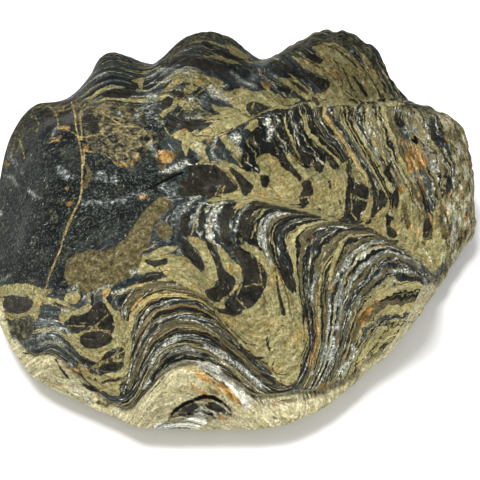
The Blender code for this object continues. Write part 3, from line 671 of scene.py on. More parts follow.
        [(205, 86), (212, 84), (218, 90), (226, 96), (232, 100), (226, 101), (216, 98), (208, 92)],
        [(229, 136), (234, 132), (240, 133), (242, 138), (239, 144), (234, 142)],
    ],
    Mark.OCHRE: [
        [(158, 152), (164, 150), (172, 152), (178, 153), (174, 158), (170, 162), (164, 163), (158, 162), (156, 157)],
        [(407, 150), (412, 146), (418, 144), (421, 150), (425, 156), (430, 160), (424, 168), (415, 173),
         (408, 172), (405, 162)],
    ],
}

# Thin lines as points in pixels of the photograph.
LINES: dict[Line, list[list[Plan]]] = {
    Line.TAN: [
        [(232, 155), (238, 162), (245, 171)], [(216, 194), (219, 187)], [(222, 194), (224, 188)],
        [(192, 233), (195, 222), (200, 208)], [(263, 211), (257, 222), (252, 236)],
        [(238, 300), (247, 309)], [(247, 286), (255, 284), (262, 286)], [(258, 262), (260, 270), (262, 282)],
        [(92, 328), (100, 322), (106, 316)], [(80, 335), (88, 331), (98, 330), (108, 331)],
        [(86, 371), (92, 368), (98, 363), (106, 360), (114, 356), (124, 351)],
        [(98, 373), (97, 368), (104, 363), (112, 361), (120, 360), (124, 362)],
        [(70, 326), (80, 326), (92, 327)],
        [(351, 196), (352, 205), (351, 213), (355, 218)], [(388, 202), (393, 212), (399, 216)],
        [(434, 147), (441, 155), (445, 163), (449, 170), (447, 178), (441, 186), (440, 195)],
        [(357, 197), (361, 199), (366, 200)], [(301, 198), (310, 197)],
        [(201, 141), (225, 132), (248, 120), (268, 110), (284, 106)],
        [(178, 114), (188, 102), (200, 92), (212, 83)],
        [(156, 119), (162, 123), (166, 130), (170, 136)], [(176, 97), (178, 103), (172, 112)],
        [(254, 103), (252, 110), (253, 116)], [(294, 88), (290, 95)],
        [(38, 107), (45, 106), (50, 107), (55, 112), (58, 120), (58, 127)], [(68, 130), (74, 133), (79, 138)],
        [(85, 151), (95, 152), (105, 154), (110, 158), (115, 163)],
        [(107, 115), (110, 111), (118, 109), (126, 104)], [(118, 123), (125, 126), (135, 127), (142, 128), (148, 135)],
        [(100, 141), (110, 134), (118, 130)], [(82, 137), (81, 125), (80, 112), (85, 104), (95, 96)],
        [(286, 128), (292, 142), (299, 156)], [(20, 142), (23, 150), (24, 156)],
        [(36, 118), (39, 124), (37, 130)], [(178, 174), (170, 178), (162, 184)],
    ],
    Line.DARK: [
        [(34, 326), (36, 335), (36, 345), (38, 352)], [(24, 353), (32, 354), (41, 351)],
        [(226, 324), (234, 332), (240, 338)], [(240, 338), (246, 344), (253, 345)],
        [(240, 284), (236, 291), (230, 297), (227, 304)],
        [(308, 338), (304, 350), (301, 358), (301, 370), (298, 380), (290, 386), (280, 385)],
        [(267, 338), (267, 346), (271, 351), (276, 350)], [(274, 362), (272, 368), (276, 375), (282, 382)],
        [(390, 323), (384, 332), (376, 344), (370, 352)], [(392, 323), (400, 321), (410, 322), (418, 325)],
        [(164, 155), (170, 153), (176, 153)], [(198, 136), (215, 136), (232, 129), (262, 114)],
        [(179, 111), (189, 99), (201, 89), (209, 84)], [(228, 117), (222, 119), (210, 120)],
        [(409, 188), (412, 200), (413, 212)], [(64, 390), (70, 394), (76, 398)],
        [(406, 222), (408, 230), (405, 240)], [(420, 316), (424, 322)],
        [(372, 275), (380, 270), (390, 268), (400, 267), (410, 268), (418, 272), (424, 278)],
        [(375, 265), (385, 264), (398, 263), (405, 266)], [(444, 204), (446, 216), (450, 230), (449, 244)],
        [(322, 44), (334, 48), (346, 56), (356, 66)], [(338, 43), (350, 51), (360, 62), (366, 74)],
        [(205, 372), (214, 378), (222, 386)], [(334, 60), (344, 70), (350, 84), (356, 96)],
        [(312, 64), (322, 68), (334, 78)],
        [(342, 88), (352, 96), (362, 102)], [(330, 66), (338, 74), (342, 82)],
        [(383, 333), (376, 345), (366, 357), (354, 366)], [(360, 345), (352, 358), (345, 368)],
        [(160, 293), (176, 293), (192, 296), (206, 301)],
        [(270, 350), (268, 342)], [(283, 326), (288, 328)],
        [(150, 393), (158, 384), (163, 378)],
        [(340, 202), (341, 208)], [(378, 167), (384, 165), (389, 169)],
    ],
    Line.PALE: [
        [(156, 68), (175, 69), (195, 71)], [(152, 83), (162, 82), (172, 83)],
        [(133, 290), (128, 297), (122, 306), (122, 316)], [(150, 290), (142, 298), (134, 306)],
        
        [(145, 352), (150, 340), (158, 330)], [(140, 345), (144, 334), (150, 324)],
        [(131, 366), (129, 376), (124, 392)], [(318, 230), (325, 228), (335, 226), (345, 228)],
        [(182, 320), (196, 321), (206, 327), (218, 336)], [(424, 250), (430, 258), (431, 262)],
        [(186, 165), (200, 164), (212, 164)], [(247, 163), (255, 168), (262, 174)],
        [(200, 203), (214, 205), (226, 203)],
    ],
    Line.VEIN: [
        [(72, 104), (75, 115), (76, 127), (78, 136), (81, 150), (82.5, 162), (82, 175), (81.5, 190), (80, 200),
         (76, 208), (72, 215), (68, 224), (64, 236), (60, 250), (54, 264), (49, 276), (46, 288), (44, 300)],
        [(82, 137), (90, 136), (101, 134)], [(106, 115), (112, 119), (118, 123)],
        [(75, 210), (70, 222), (66, 232)], [(84, 152), (84, 164)],
    ],
}


def linear(hex_colour: str) -> tuple[float, float, float, float]:
    """Linear colour of an sRGB hex value.

    Args:
        hex_colour: Six hex digits after a hash sign.

    Returns:
        Red, green, blue and alpha 1, for a shader's socket.
    """
    parts = [int(hex_colour[i : i + 2], 16) / 255 for i in (1, 3, 5)]
    red, green, blue = (c / 12.92 if c <= 0.04045 else ((c + 0.055) / 1.055) ** 2.4 for c in parts)
    return (red, green, blue, 1.0)


def add_node(tree: bpy.types.NodeTree, kind: str, inputs: dict | None = None, **settings: object) -> bpy.types.Node:
    """Adds one node.

    Args:
        tree: The node tree that it joins.
        kind: The node's type name.
        inputs: Socket name or number to a value, or to the socket that feeds it.
        **settings: The node's own properties.

    Returns:
        The new node.
    """
    made = tree.nodes.new(kind)
    for name, value in settings.items():
        setattr(made, name, value)
    for name, value in (inputs or {}).items():
        if isinstance(value, bpy.types.NodeSocket):
            tree.links.new(value, made.inputs[name])
        else:
            made.inputs[name].default_value = value
    return made


def thin_plate(points: np.ndarray, smoothing: float = 0.0) -> Callable[[np.ndarray, np.ndarray], np.ndarray]:
    """Surface that bends as a thin plate through scattered points.

    The plate is a plane plus a sum of r squared times log r about each point, with the
    weights that make it pass through the points, or near them if smoothing is set.

    Args:
        points: Rows of x, y and the value there.
        smoothing: Added on the diagonal, so that the plate may miss noisy points.

    Returns:
        A function of x and y arrays that gives the value.
    """
    points = np.asarray(points, float)
    centres = points[:, :2]
    count = len(points)
    block = 4096

    def kernel(at: np.ndarray) -> np.ndarray:
        square = ((at[:, None, :] - centres[None, :, :]) ** 2).sum(-1)
        return 0.5 * square * np.log(square + 1e-9)

    system = np.zeros((count + 3, count + 3))
    system[:count, :count] = kernel(centres) + smoothing * np.eye(count)
    system[:count, count:] = np.column_stack([np.ones(count), centres])
    system[count:, :count] = system[:count, count:].T
    weights = np.linalg.solve(system, np.append(points[:, 2], np.zeros(3)))

    def value(x: np.ndarray, y: np.ndarray) -> np.ndarray:
        at = np.column_stack([np.ravel(x), np.ravel(y)])
        plane = weights[count] + at @ weights[count + 1 :]
        bends = [kernel(at[i : i + block]) @ weights[:count] for i in range(0, len(at), block)]
        return (plane + np.concatenate(bends)).reshape(np.shape(x))

    return value


def smooth_step(low: float, high: float, value: np.ndarray) -> np.ndarray:
    """Three t squared less two t cubed, where t goes 0 to 1 as value goes low to high."""
    t = np.clip((value - low) / (high - low), 0.0, 1.0)
    return t * t * (3 - 2 * t)


def stone_noise(points: np.ndarray, size: float, octaves: int = 3, seed: float = 0.0) -> np.ndarray:
    """Value noise: random heights on a cubic lattice, blended smoothly, summed over octaves.

    Args:
        points: Rows of x, y and z in millimetres.
        size: Width of the largest lumps in millimetres.
        octaves: How many halvings of size are added, each at half the strength.
        seed: Moves the noise to another place.

    Returns:
        One value for each point, from -1 to 1.
    """
    total = np.zeros(len(points))
    strength, reach = 1.0, 0.0
    for octave in range(octaves):
        at = points / (size / 2**octave) + seed + 17.3 * octave
        cell = np.floor(at)
        part = at - cell
        part = part * part * (3 - 2 * part)
        value = np.zeros(len(points))
        for corner in np.ndindex(2, 2, 2):
            place = cell + corner
            spin = np.sin(place @ np.array([12.9898, 78.233, 37.719])) * 43758.5453
            share = np.where(np.array(corner) == 1, part, 1 - part).prod(1)
            value += share * (spin - np.floor(spin))
        total += strength * (2 * value - 1)
        reach += strength
        strength *= 0.5
    return total / reach


def stroke_distance(at: np.ndarray, strokes: list[Stroke], reach: float) -> np.ndarray:
    """Signed distance from each point to the nearest stroke, negative inside it.

    Each stroke is a chain of segments whose radius goes evenly from one point to the
    next, so the distance is that to the segment, less the radius at its nearest place.

    Args:
        at: Rows of x and y.
        strokes: Chains of x, y and radius.
        reach: The largest distance that is told.

    Returns:
        One distance for each row.
    """
    nearest = np.full(len(at), reach)
    for stroke in strokes:
        chain = np.array(stroke if len(stroke) > 1 else stroke * 2, float)
        for start, end in zip(chain[:-1], chain[1:]):
            low = np.minimum(start[:2] - start[2], end[:2] - end[2]) - reach
            high = np.maximum(start[:2] + start[2], end[:2] + end[2]) + reach
            near = np.flatnonzero(((at > low) & (at < high)).all(1))
            along = end[:2] - start[:2]
            offset = at[near] - start[:2]
            share = np.clip(offset @ along / max(along @ along, 1e-9), 0, 1)
            away = np.linalg.norm(offset - share[:, None] * along, axis=1)
            away -= start[2] + share * (end[2] - start[2])
            nearest[near] = np.minimum(nearest[near], away)
    return nearest


def patch_distance(at: np.ndarray, patches: list[list[Plan]], reach: float) -> np.ndarray:
    """Signed distance from each point to the nearest patch, negative inside it.

    The distance is that to the nearest edge. A point is inside where a line from it to
    the right crosses the outline an odd number of times.

    Args:
        at: Rows of x and y.
        patches: Closed outlines.
        reach: The largest distance that is told.

    Returns:
        One distance for each row.
    """
    nearest = np.full(len(at), reach)
    for patch in patches:
        outline = np.array(patch, float)
        near = np.flatnonzero(((at > outline.min(0) - reach) & (at < outline.max(0) + reach)).all(1))
        start, end = outline, np.roll(outline, -1, axis=0)
        along = end - start
        offset = at[near, None, :] - start
        share = np.clip((offset * along).sum(-1) / (along**2).sum(-1), 0, 1)
        away = np.linalg.norm(offset - share[..., None] * along, axis=-1).min(1)
        spans = (start[:, 1] > at[near, 1:2]) != (end[:, 1] > at[near, 1:2])
        rise = np.where(along[:, 1] == 0, 1.0, along[:, 1])
        crossing = offset[..., 0] < offset[..., 1] * along[:, 0] / rise
        inside = (spans & crossing).sum(1) % 2 == 1
        nearest[near] = np.minimum(nearest[near], np.where(inside, -away, away))
    return nearest


def line_offsets(at: np.ndarray, lines: list[list[Plan]], reach: float) -> tuple[np.ndarray, np.ndarray]:
    """How far each point is to the side of the nearest line, and how far away from it.

    The offset to the side has a sign, so it passes evenly through nought on the line
    and draws it sharply between the mesh's points.

    Args:
        at: Rows of x and y.
        lines: Chains of points.
        reach: The largest distance that is told.

    Returns:
        The offsets to the side and the distances.
    """
    side = np.full(len(at), reach)
    nearest = np.full(len(at), reach)
    for line in lines:
        chain = np.array(line, float)
        for start, end in zip(chain[:-1], chain[1:]):
            low, high = np.minimum(start, end) - reach, np.maximum(start, end) + reach
            near = np.flatnonzero(((at > low) & (at < high)).all(1))
            along = end - start
            offset = at[near] - start
            share = np.clip(offset @ along / (along @ along), 0, 1)
            away = np.linalg.norm(offset - share[:, None] * along, axis=1)
            across = (along[0] * offset[:, 1] - along[1] * offset[:, 0]) / np.linalg.norm(along)
            closer = away < nearest[near]
            nearest[near[closer]] = away[closer]
            side[near[closer]] = across[closer]
    return side, nearest


@dataclass(frozen=True)
class PhotoCamera:
    """The photograph's camera, in millimetres, looking along +Y and down."""

    elevation: float = math.radians(50.0)
    distance: float = 430.0
    target: Place = (0.9, -5.7, 18.0)
    mm_per_pixel: float = 0.236
    frame_px: float = 480.0
    sensor: float = 36.0

    @property
    def back(self) -> np.ndarray:
        """Direction from the target to the eye."""
        return np.array([0.0, -math.cos(self.elevation), math.sin(self.elevation)])

    @property
    def up(self) -> np.ndarray:
        """Direction that is upwards in the picture."""
        return np.array([0.0, math.sin(self.elevation), math.cos(self.elevation)])

    @property
    def eye(self) -> np.ndarray:
        """Place of the eye."""
        return np.array(self.target) + self.back * self.distance

    @property
    def focal_px(self) -> float:
        """Focal length in pixels."""
        return self.distance / self.mm_per_pixel

    def project(self, points: np.ndarray) -> tuple[np.ndarray, np.ndarray]:
        """Pixels and depths of points: focal length times offset over depth.

        Args:
            points: Rows of x, y and z in millimetres.

        Returns:
            Rows of pixel x and y, and the depths.
        """
        offset = points - self.eye
        depth = -(offset @ self.back)
        middle = self.frame_px / 2
        across = middle + self.focal_px * offset[:, 0] / depth
        down = middle - self.focal_px * (offset @ self.up) / depth
        return np.column_stack([across, down]), depth

    def land(self, pixels: np.ndarray, height: Callable[[np.ndarray, np.ndarray], np.ndarray]) -> np.ndarray:
        """Where the rays through pixels first meet a height field.

        Args:
            pixels: Rows of pixel x and y.
            height: The field's height in millimetres at x and y.

        Returns:
            Rows of x and y in millimetres.
        """
        middle = self.frame_px / 2
        offset = (pixels - middle) / self.focal_px
        ray = -self.back + offset[:, :1] * np.array([1.0, 0.0, 0.0]) - offset[:, 1:] * self.up
        levels = np.linspace(44.0, 6.0, 191)
        run = (levels[None, :] - self.eye[2]) / ray[:, 2:]
        x = self.eye[0] + ray[:, :1] * run
        y = self.eye[1] + ray[:, 1:2] * run
        under = levels[None, :] <= height(x, y)
        first = np.argmax(under, axis=1)
        row = np.arange(len(pixels))
        return np.column_stack([x[row, first], y[row, first]])

    def make(self) -> bpy.types.Object:
        """The scene's camera, with the photograph's lens."""
        data = bpy.data.cameras.new("photo_camera")
        data.sensor_width = self.sensor
        data.lens = self.focal_px / self.frame_px * self.sensor
        data.clip_start, data.clip_end = 0.01, 10.0
        camera = bpy.data.objects.new("photo_camera", data)
        camera.location = self.eye * MM
        camera.rotation_euler = (math.pi / 2 - self.elevation, 0.0, 0.0)
        bpy.context.scene.collection.objects.link(camera)
        bpy.context.scene.camera = camera
        return camera


@dataclass
class ShellForm:
    """The shell's shape: a folded top on a square grid, a wall and an underside in rings."""

    camera: PhotoCamera
    grid: int = 240
    wall_rings: int = 26
    under_rings: int = 9
    scar_shares: tuple[float, ...] = (0.4, 0.2)
    pole: Plan = (-6.0, -1.0)
    ledge_age: float = 4.0
    ledge_relief: float = 0.7
    height: Callable[[np.ndarray, np.ndarray], np.ndarray] = field(init=False)
    age: Callable[[np.ndarray, np.ndarray], np.ndarray] = field(init=False)

    def __post_init__(self) -> None:
        """Works out the height field and the growth field."""
        relief = [point for lines in (FOLDS, HOLLOWS) for line in lines.values() for point in line]
        relief += [APEX, *SMOOTH_HUMP, *STEEP_FACE, *MARGIN_BETWEEN.values()]
        plate = thin_plate(np.array(relief, float) - MIDDLE)
        self.height = lambda x, y: np.maximum(plate(x, y), LOWEST_EDGE)
        pixels = np.array([pixel for _, line in GROWTH_LINES for pixel in line], float)
        ages = np.array([age for age, line in GROWTH_LINES for _ in line])
        known = np.column_stack([self.camera.land(pixels, self.height), ages])
        hidden = np.array([MARGIN_BETWEEN[name] for name in HIDDEN_MARGIN]) - MIDDLE
        hidden[:, 2] = list(HIDDEN_MARGIN.values())
        self.age = thin_plate(np.vstack([known, hidden]), smoothing=12.0)

    def margin(self, shares: np.ndarray) -> tuple[np.ndarray, np.ndarray]:
        """Margin points and wall flares at even steps of length round the shell.

        The margin is a closed Catmull-Rom curve through the ends of the folds and
        hollows and the points between them, sorted by their angle. Chips make it
        uneven at the right.

        Args:
            shares: Shares of the margin's length, 0 to 1.

        Returns:
            Rows of x and y, and the flares.
        """
        ends = dict(MARGIN_BETWEEN)
        for lines in (FOLDS, HOLLOWS):
            ends.update({name: line[-1] for name, line in lines.items()})
        order = sorted(ends, key=lambda name: math.atan2(ends[name][1], ends[name][0]))
        knots = np.array([(*ends[name][:2], WALL_FLARE.get(name, PLAIN_FLARE)) for name in order])
        knots[:, :2] -= MIDDLE[:2]

        def curve(turn: np.ndarray) -> np.ndarray:
            place = turn % 1.0 * len(knots)
            first = np.floor(place).astype(int)
            t = (place - first)[:, None]
            a, b, c, d = (knots[(first + step) % len(knots)] for step in (-1, 0, 1, 2))
            bend = (2 * a - 5 * b + 4 * c - d) * t**2 + (3 * b - a - 3 * c + d) * t**3
            return 0.5 * (2 * b + (c - a) * t + bend)

        turns = np.linspace(0, 1, 3001)
        dense = curve(turns)
        steps = np.linalg.norm(np.diff(dense[:, :2], axis=0), axis=1)
        length = np.concatenate([[0], np.cumsum(steps)])
        found = curve(np.interp(shares % 1.0, length / length[-1], turns))
        flat = np.column_stack([found[:, :2], np.zeros(len(found))])
        chips = 0.7 * stone_noise(flat, 5.0, 3, seed=6.1) * smooth_step(-30, 10, found[:, 0])
        chips += 0.6 * stone_noise(flat, 2.4, 2, seed=6.7) * smooth_step(25, 45, found[:, 0])
        outward = found[:, :2] / np.linalg.norm(found[:, :2], axis=1, keepdims=True)
        return found[:, :2] + outward * chips[:, None], found[:, 2]

    def square_to_disc(self) -> tuple[np.ndarray, np.ndarray]:
        """Radius and turn of each point of a square grid laid evenly on a disc.

        The point's larger coordinate is its radius, and the smaller one's share of it
        is its place in that quarter.

        Returns:
            Radii 0 to 1 and turns 0 to 1, each in rows of the grid.
        """
        line = np.linspace(-1, 1, self.grid + 1)
        v, u = np.meshgrid(line, line, indexing="ij")
        flat = np.abs(u) >= np.abs(v)
        wide = np.where(flat, u, v)
        small = np.where(flat, v, u)
        quarter = 0.25 * math.pi * np.divide(small, wide, out=np.zeros_like(u), where=wide != 0)
        x = wide * np.where(flat, np.cos(quarter), np.sin(quarter))
        y = wide * np.where(flat, np.sin(quarter), np.cos(quarter))
        return np.hypot(x, y), (np.arctan2(y, x) / (2 * math.pi) + 0.5) % 1.0

    def border(self) -> np.ndarray:
        """Numbers of the grid's border points, once round from the left side's middle."""
        n = self.grid
        half = n // 2
        number = np.arange((n + 1) ** 2).reshape(n + 1, n + 1)
        left_down = number[half:0:-1, 0]
        bottom = number[0, :n]
        right = number[:n, n]
        top = number[n, n:0:-1]
        left_up = number[n:half:-1, 0]
        return np.concatenate([left_down, bottom, right, top, left_up])

    def top(self) -> tuple[np.ndarray, np.ndarray]:
        """Points and ages of the folded top.

        Each point's height is the plate's, less the pits, plus ledges: over each span
        of age the stone rises and then drops back sharply.

        Returns:
            Rows of x, y and z, and the ages.
        """
        radius, turn = self.square_to_disc()
        edge, _ = self.margin(turn.ravel())
        pole = np.array(self.pole) - MIDDLE[:2]
        plan = pole + (edge - pole) * radius.ravel()[:, None]
        x, y = plan.T
        age = self.age(x, y)
        level = self.height(x, y)
        for middle, wide, deep in PITS:
            away = np.linalg.norm(plan - (np.array(middle) - MIDDLE[:2]), axis=1) / wide
            level -= deep * np.clip(1 - away**2, 0, None) ** 2
        flat = np.column_stack([x, y, level])
        wobble = 1.5 * stone_noise(flat, 9.0, 2, seed=3.1)
        span = (age + wobble) / self.ledge_age
        ramp = span - np.floor(span)
        ramp = ramp - smooth_step(0.8, 1.0, ramp)
        folded = smooth_step(40, 52, age) * smooth_step(1.0, 0.985, radius.ravel())
        level += folded * self.ledge_relief * (ramp - 0.35) * (0.6 + 0.4 * stone_noise(flat, 14.0, 2, seed=7.7))
        level += 0.12 * stone_noise(flat, 3.0, 3, seed=1.3)
        craggy = smooth_step(76, 92, age) * smooth_step(0, 25, x)
        level += 1.0 * craggy * stone_noise(flat, 2.4, 2, seed=8.8)
        level += 0.6 * smooth_step(26, 42, y) * stone_noise(flat, 3.2, 3, seed=5.5)
        return np.column_stack([x, y, np.maximum(level, LOWEST_EDGE - 0.3)]), age

    def wall(self, rim: np.ndarray, rim_age: np.ndarray) -> tuple[list[np.ndarray], list[np.ndarray]]:
        """Rings of points and ages from under the edge to the scar.

        The wall is a quarter turn out and down from the edge to the foot, and the
        underside is a quarter turn in and down from the foot to the scar.

        Args:
            rim: Rows of x, y and z round the top's edge.
            rim_age: Ages there.

        Returns:
            The rings' points and their ages.
        """
        count = len(rim)
        shares = np.arange(count) / count
        edge, flare = self.margin(shares)
        outward = edge + MIDDLE[:2]
        outward /= np.linalg.norm(outward, axis=1, keepdims=True)
        foot = edge + outward * flare[:, None]
        inner = edge - outward * EDGE_INSET
        wall_top = rim[:, 2] - EDGE_STEP
        rings, ages = [], []
        for ring in range(self.wall_rings):
            turn = 0.5 * math.pi * ring / (self.wall_rings - 1)
            level = wall_top - (wall_top - FOOT_HEIGHT) * (1 - math.cos(turn))
            plan = inner + (foot - inner) * math.sin(turn)
            flat = np.column_stack([plan, level])
            layers = stone_noise(flat * np.array([0.12, 0.12, 1.0]), 1.6, 2, seed=5.0)
            lumps = stone_noise(flat, 7.0, 3, seed=9.0)
            fade = math.sin(math.pi * min(1.0, ring / 3) / 2)
            plan = plan + outward * (fade * (0.35 * layers + 0.4 * lumps))[:, None]
            rings.append(np.column_stack([plan, level]))
            ages.append(rim_age + 1.4 * (rim[:, 2] - level) + 1.5 * lumps)
        for ring in range(1, self.under_rings + 1):
            turn = 0.5 * math.pi * ring / self.under_rings
            share = 1 - (1 - SCAR_SHARE) * (1 - math.cos(turn))
            level = np.full(count, FOOT_HEIGHT * (1 - math.sin(turn)))
            centre = -np.array(MIDDLE[:2])
            plan = centre + (foot - centre) * share
            flat = np.column_stack([plan, level])
            growth = 0.5 * stone_noise(np.column_stack([plan * 0.15, level * 2.0]), 2.0, 2, seed=4.0)
            lift = (0.25 + 0.25 * (growth + stone_noise(flat, 6.0, 3, seed=2.0))) * math.cos(turn)
            rings.append(np.column_stack([plan, level + np.clip(lift, 0, None)]))
            ages.append(ages[self.wall_rings - 1] + 30 * (1 - share))
        for share in self.scar_shares:
            rings.append(np.column_stack([(foot + MIDDLE[:2]) * share - MIDDLE[:2], np.zeros(count)]))
            ages.append(ages[-1] + 5)
        return rings, ages

    def mesh(self) -> tuple[bpy.types.Mesh, np.ndarray, np.ndarray, np.ndarray]:
        """The shell's mesh, one closed skin.

        Returns:
            The mesh, its points in millimetres, their ages, and how far each is down the wall.
        """
        top, age = self.top()
        rim = self.border()
        rings, ring_ages = self.wall(top[rim], age[rim])
        points = np.vstack([top, *rings, [[-MIDDLE[0], -MIDDLE[1], 0.0]]])
        ages = np.concatenate([age, *ring_ages, [ring_ages[-1][0]]])
        down = np.concatenate([np.zeros(len(top)), *[top[rim, 2] - ring[:, 2] for ring in rings], [30.0]])
        n = self.grid
        number = np.arange((n + 1) ** 2).reshape(n + 1, n + 1)
        cells = np.stack([number[:-1, :-1], number[:-1, 1:], number[1:, 1:], number[1:, :-1]], -1).reshape(-1, 4)
        loops = [rim] + [len(top) + ring * len(rim) + np.arange(len(rim)) for ring in range(len(rings))]
        bands = [
            np.stack([upper, lower, np.roll(lower, -1), np.roll(upper, -1)], -1)
            for upper, lower in zip(loops[:-1], loops[1:])
        ]
        quads = np.vstack([cells, *bands])
        last = loops[-1]
        fan = np.stack([last, np.full(len(last), len(points) - 1), np.roll(last, -1)], -1)
        mesh = bpy.data.meshes.new("polished_shell")
        mesh.from_pydata((points * MM).tolist(), [], quads.tolist() + fan.tolist())
        mesh.update()
        mesh.shade_smooth()
        return mesh, points, ages, down


@dataclass
class Markings:
    """Carries the listed strokes onto the part of the shell that the photograph shows."""

    camera: PhotoCamera
    cell_px: float = 3.0
    depth_slack: float = 2.5
    reach: float = 8.0
    wide_reach: float = 24.0

    def seen(self, pixels: np.ndarray, depth: np.ndarray, facing: np.ndarray) -> np.ndarray:
        """Which points the camera sees: those that face it and lie at the front of their cell.

        Args:
            pixels: Rows of pixel x and y.
            depth: Depths in millimetres.
            facing: Cosine between each normal and the way to the eye.

        Returns:
            True for each point that is seen.
        """
        cell = np.clip((pixels / self.cell_px).astype(int) + 4, 0, 255)
        front = np.full((256, 256), np.inf)
        np.minimum.at(front, (cell[:, 0], cell[:, 1]), depth)
        slack = self.depth_slack + 0.7 / np.maximum(facing, 0.07)
        return (facing > 0.02) & (depth < front[cell[:, 0], cell[:, 1]] + slack)

    def write(self, mesh: bpy.types.Mesh, points: np.ndarray) -> None:
        """Writes one signed distance in pixels for each marking, as a point attribute.

        Args:
            mesh: The shell's mesh.
            points: Its points in millimetres.
        """
        normals = np.empty(len(points) * 3, np.float32)
        mesh.vertex_normals.foreach_get("vector", normals)
        normals = normals.reshape(-1, 3)
        pixels, depth = self.camera.project(points)
        way = self.camera.eye - points
        facing = (normals * way).sum(1) / np.linalg.norm(way, axis=1)
        seen = self.seen(pixels, depth, facing)
        LOG.info("markings: %d of %d points are seen", seen.sum(), len(seen))
        for mark in Mark:
            reach = self.wide_reach if mark in SOFT_MARKS else self.reach
            distance = stroke_distance(pixels, STROKES.get(mark, []), reach)
            distance = np.minimum(distance, patch_distance(pixels, PATCHES.get(mark, []), reach))
            if mark is not Mark.HUMP:
                distance[~seen] = reach
            set_attribute(mesh, mark.value, distance)
        for line in Line:
            side, away = line_offsets(pixels, LINES[line], self.reach)
            away[~seen] = self.reach
            set_attribute(mesh, f"{line.value}_side", side)
            set_attribute(mesh, f"{line.value}_away", away)


def set_attribute(mesh: bpy.types.Mesh, name: str, values: np.ndarray) -> None:
    """Writes one number for each point of the mesh."""
    mesh.attributes.new(name, "FLOAT", "POINT").data.foreach_set("value", values.astype(np.float32))


Socket = bpy.types.NodeSocket
Colour = Socket | tuple[float, float, float, float]


@dataclass
class Coat:
    """What one stone looks like: its colour and its roughness."""

    colour: Colour
    roughness: Socket | float


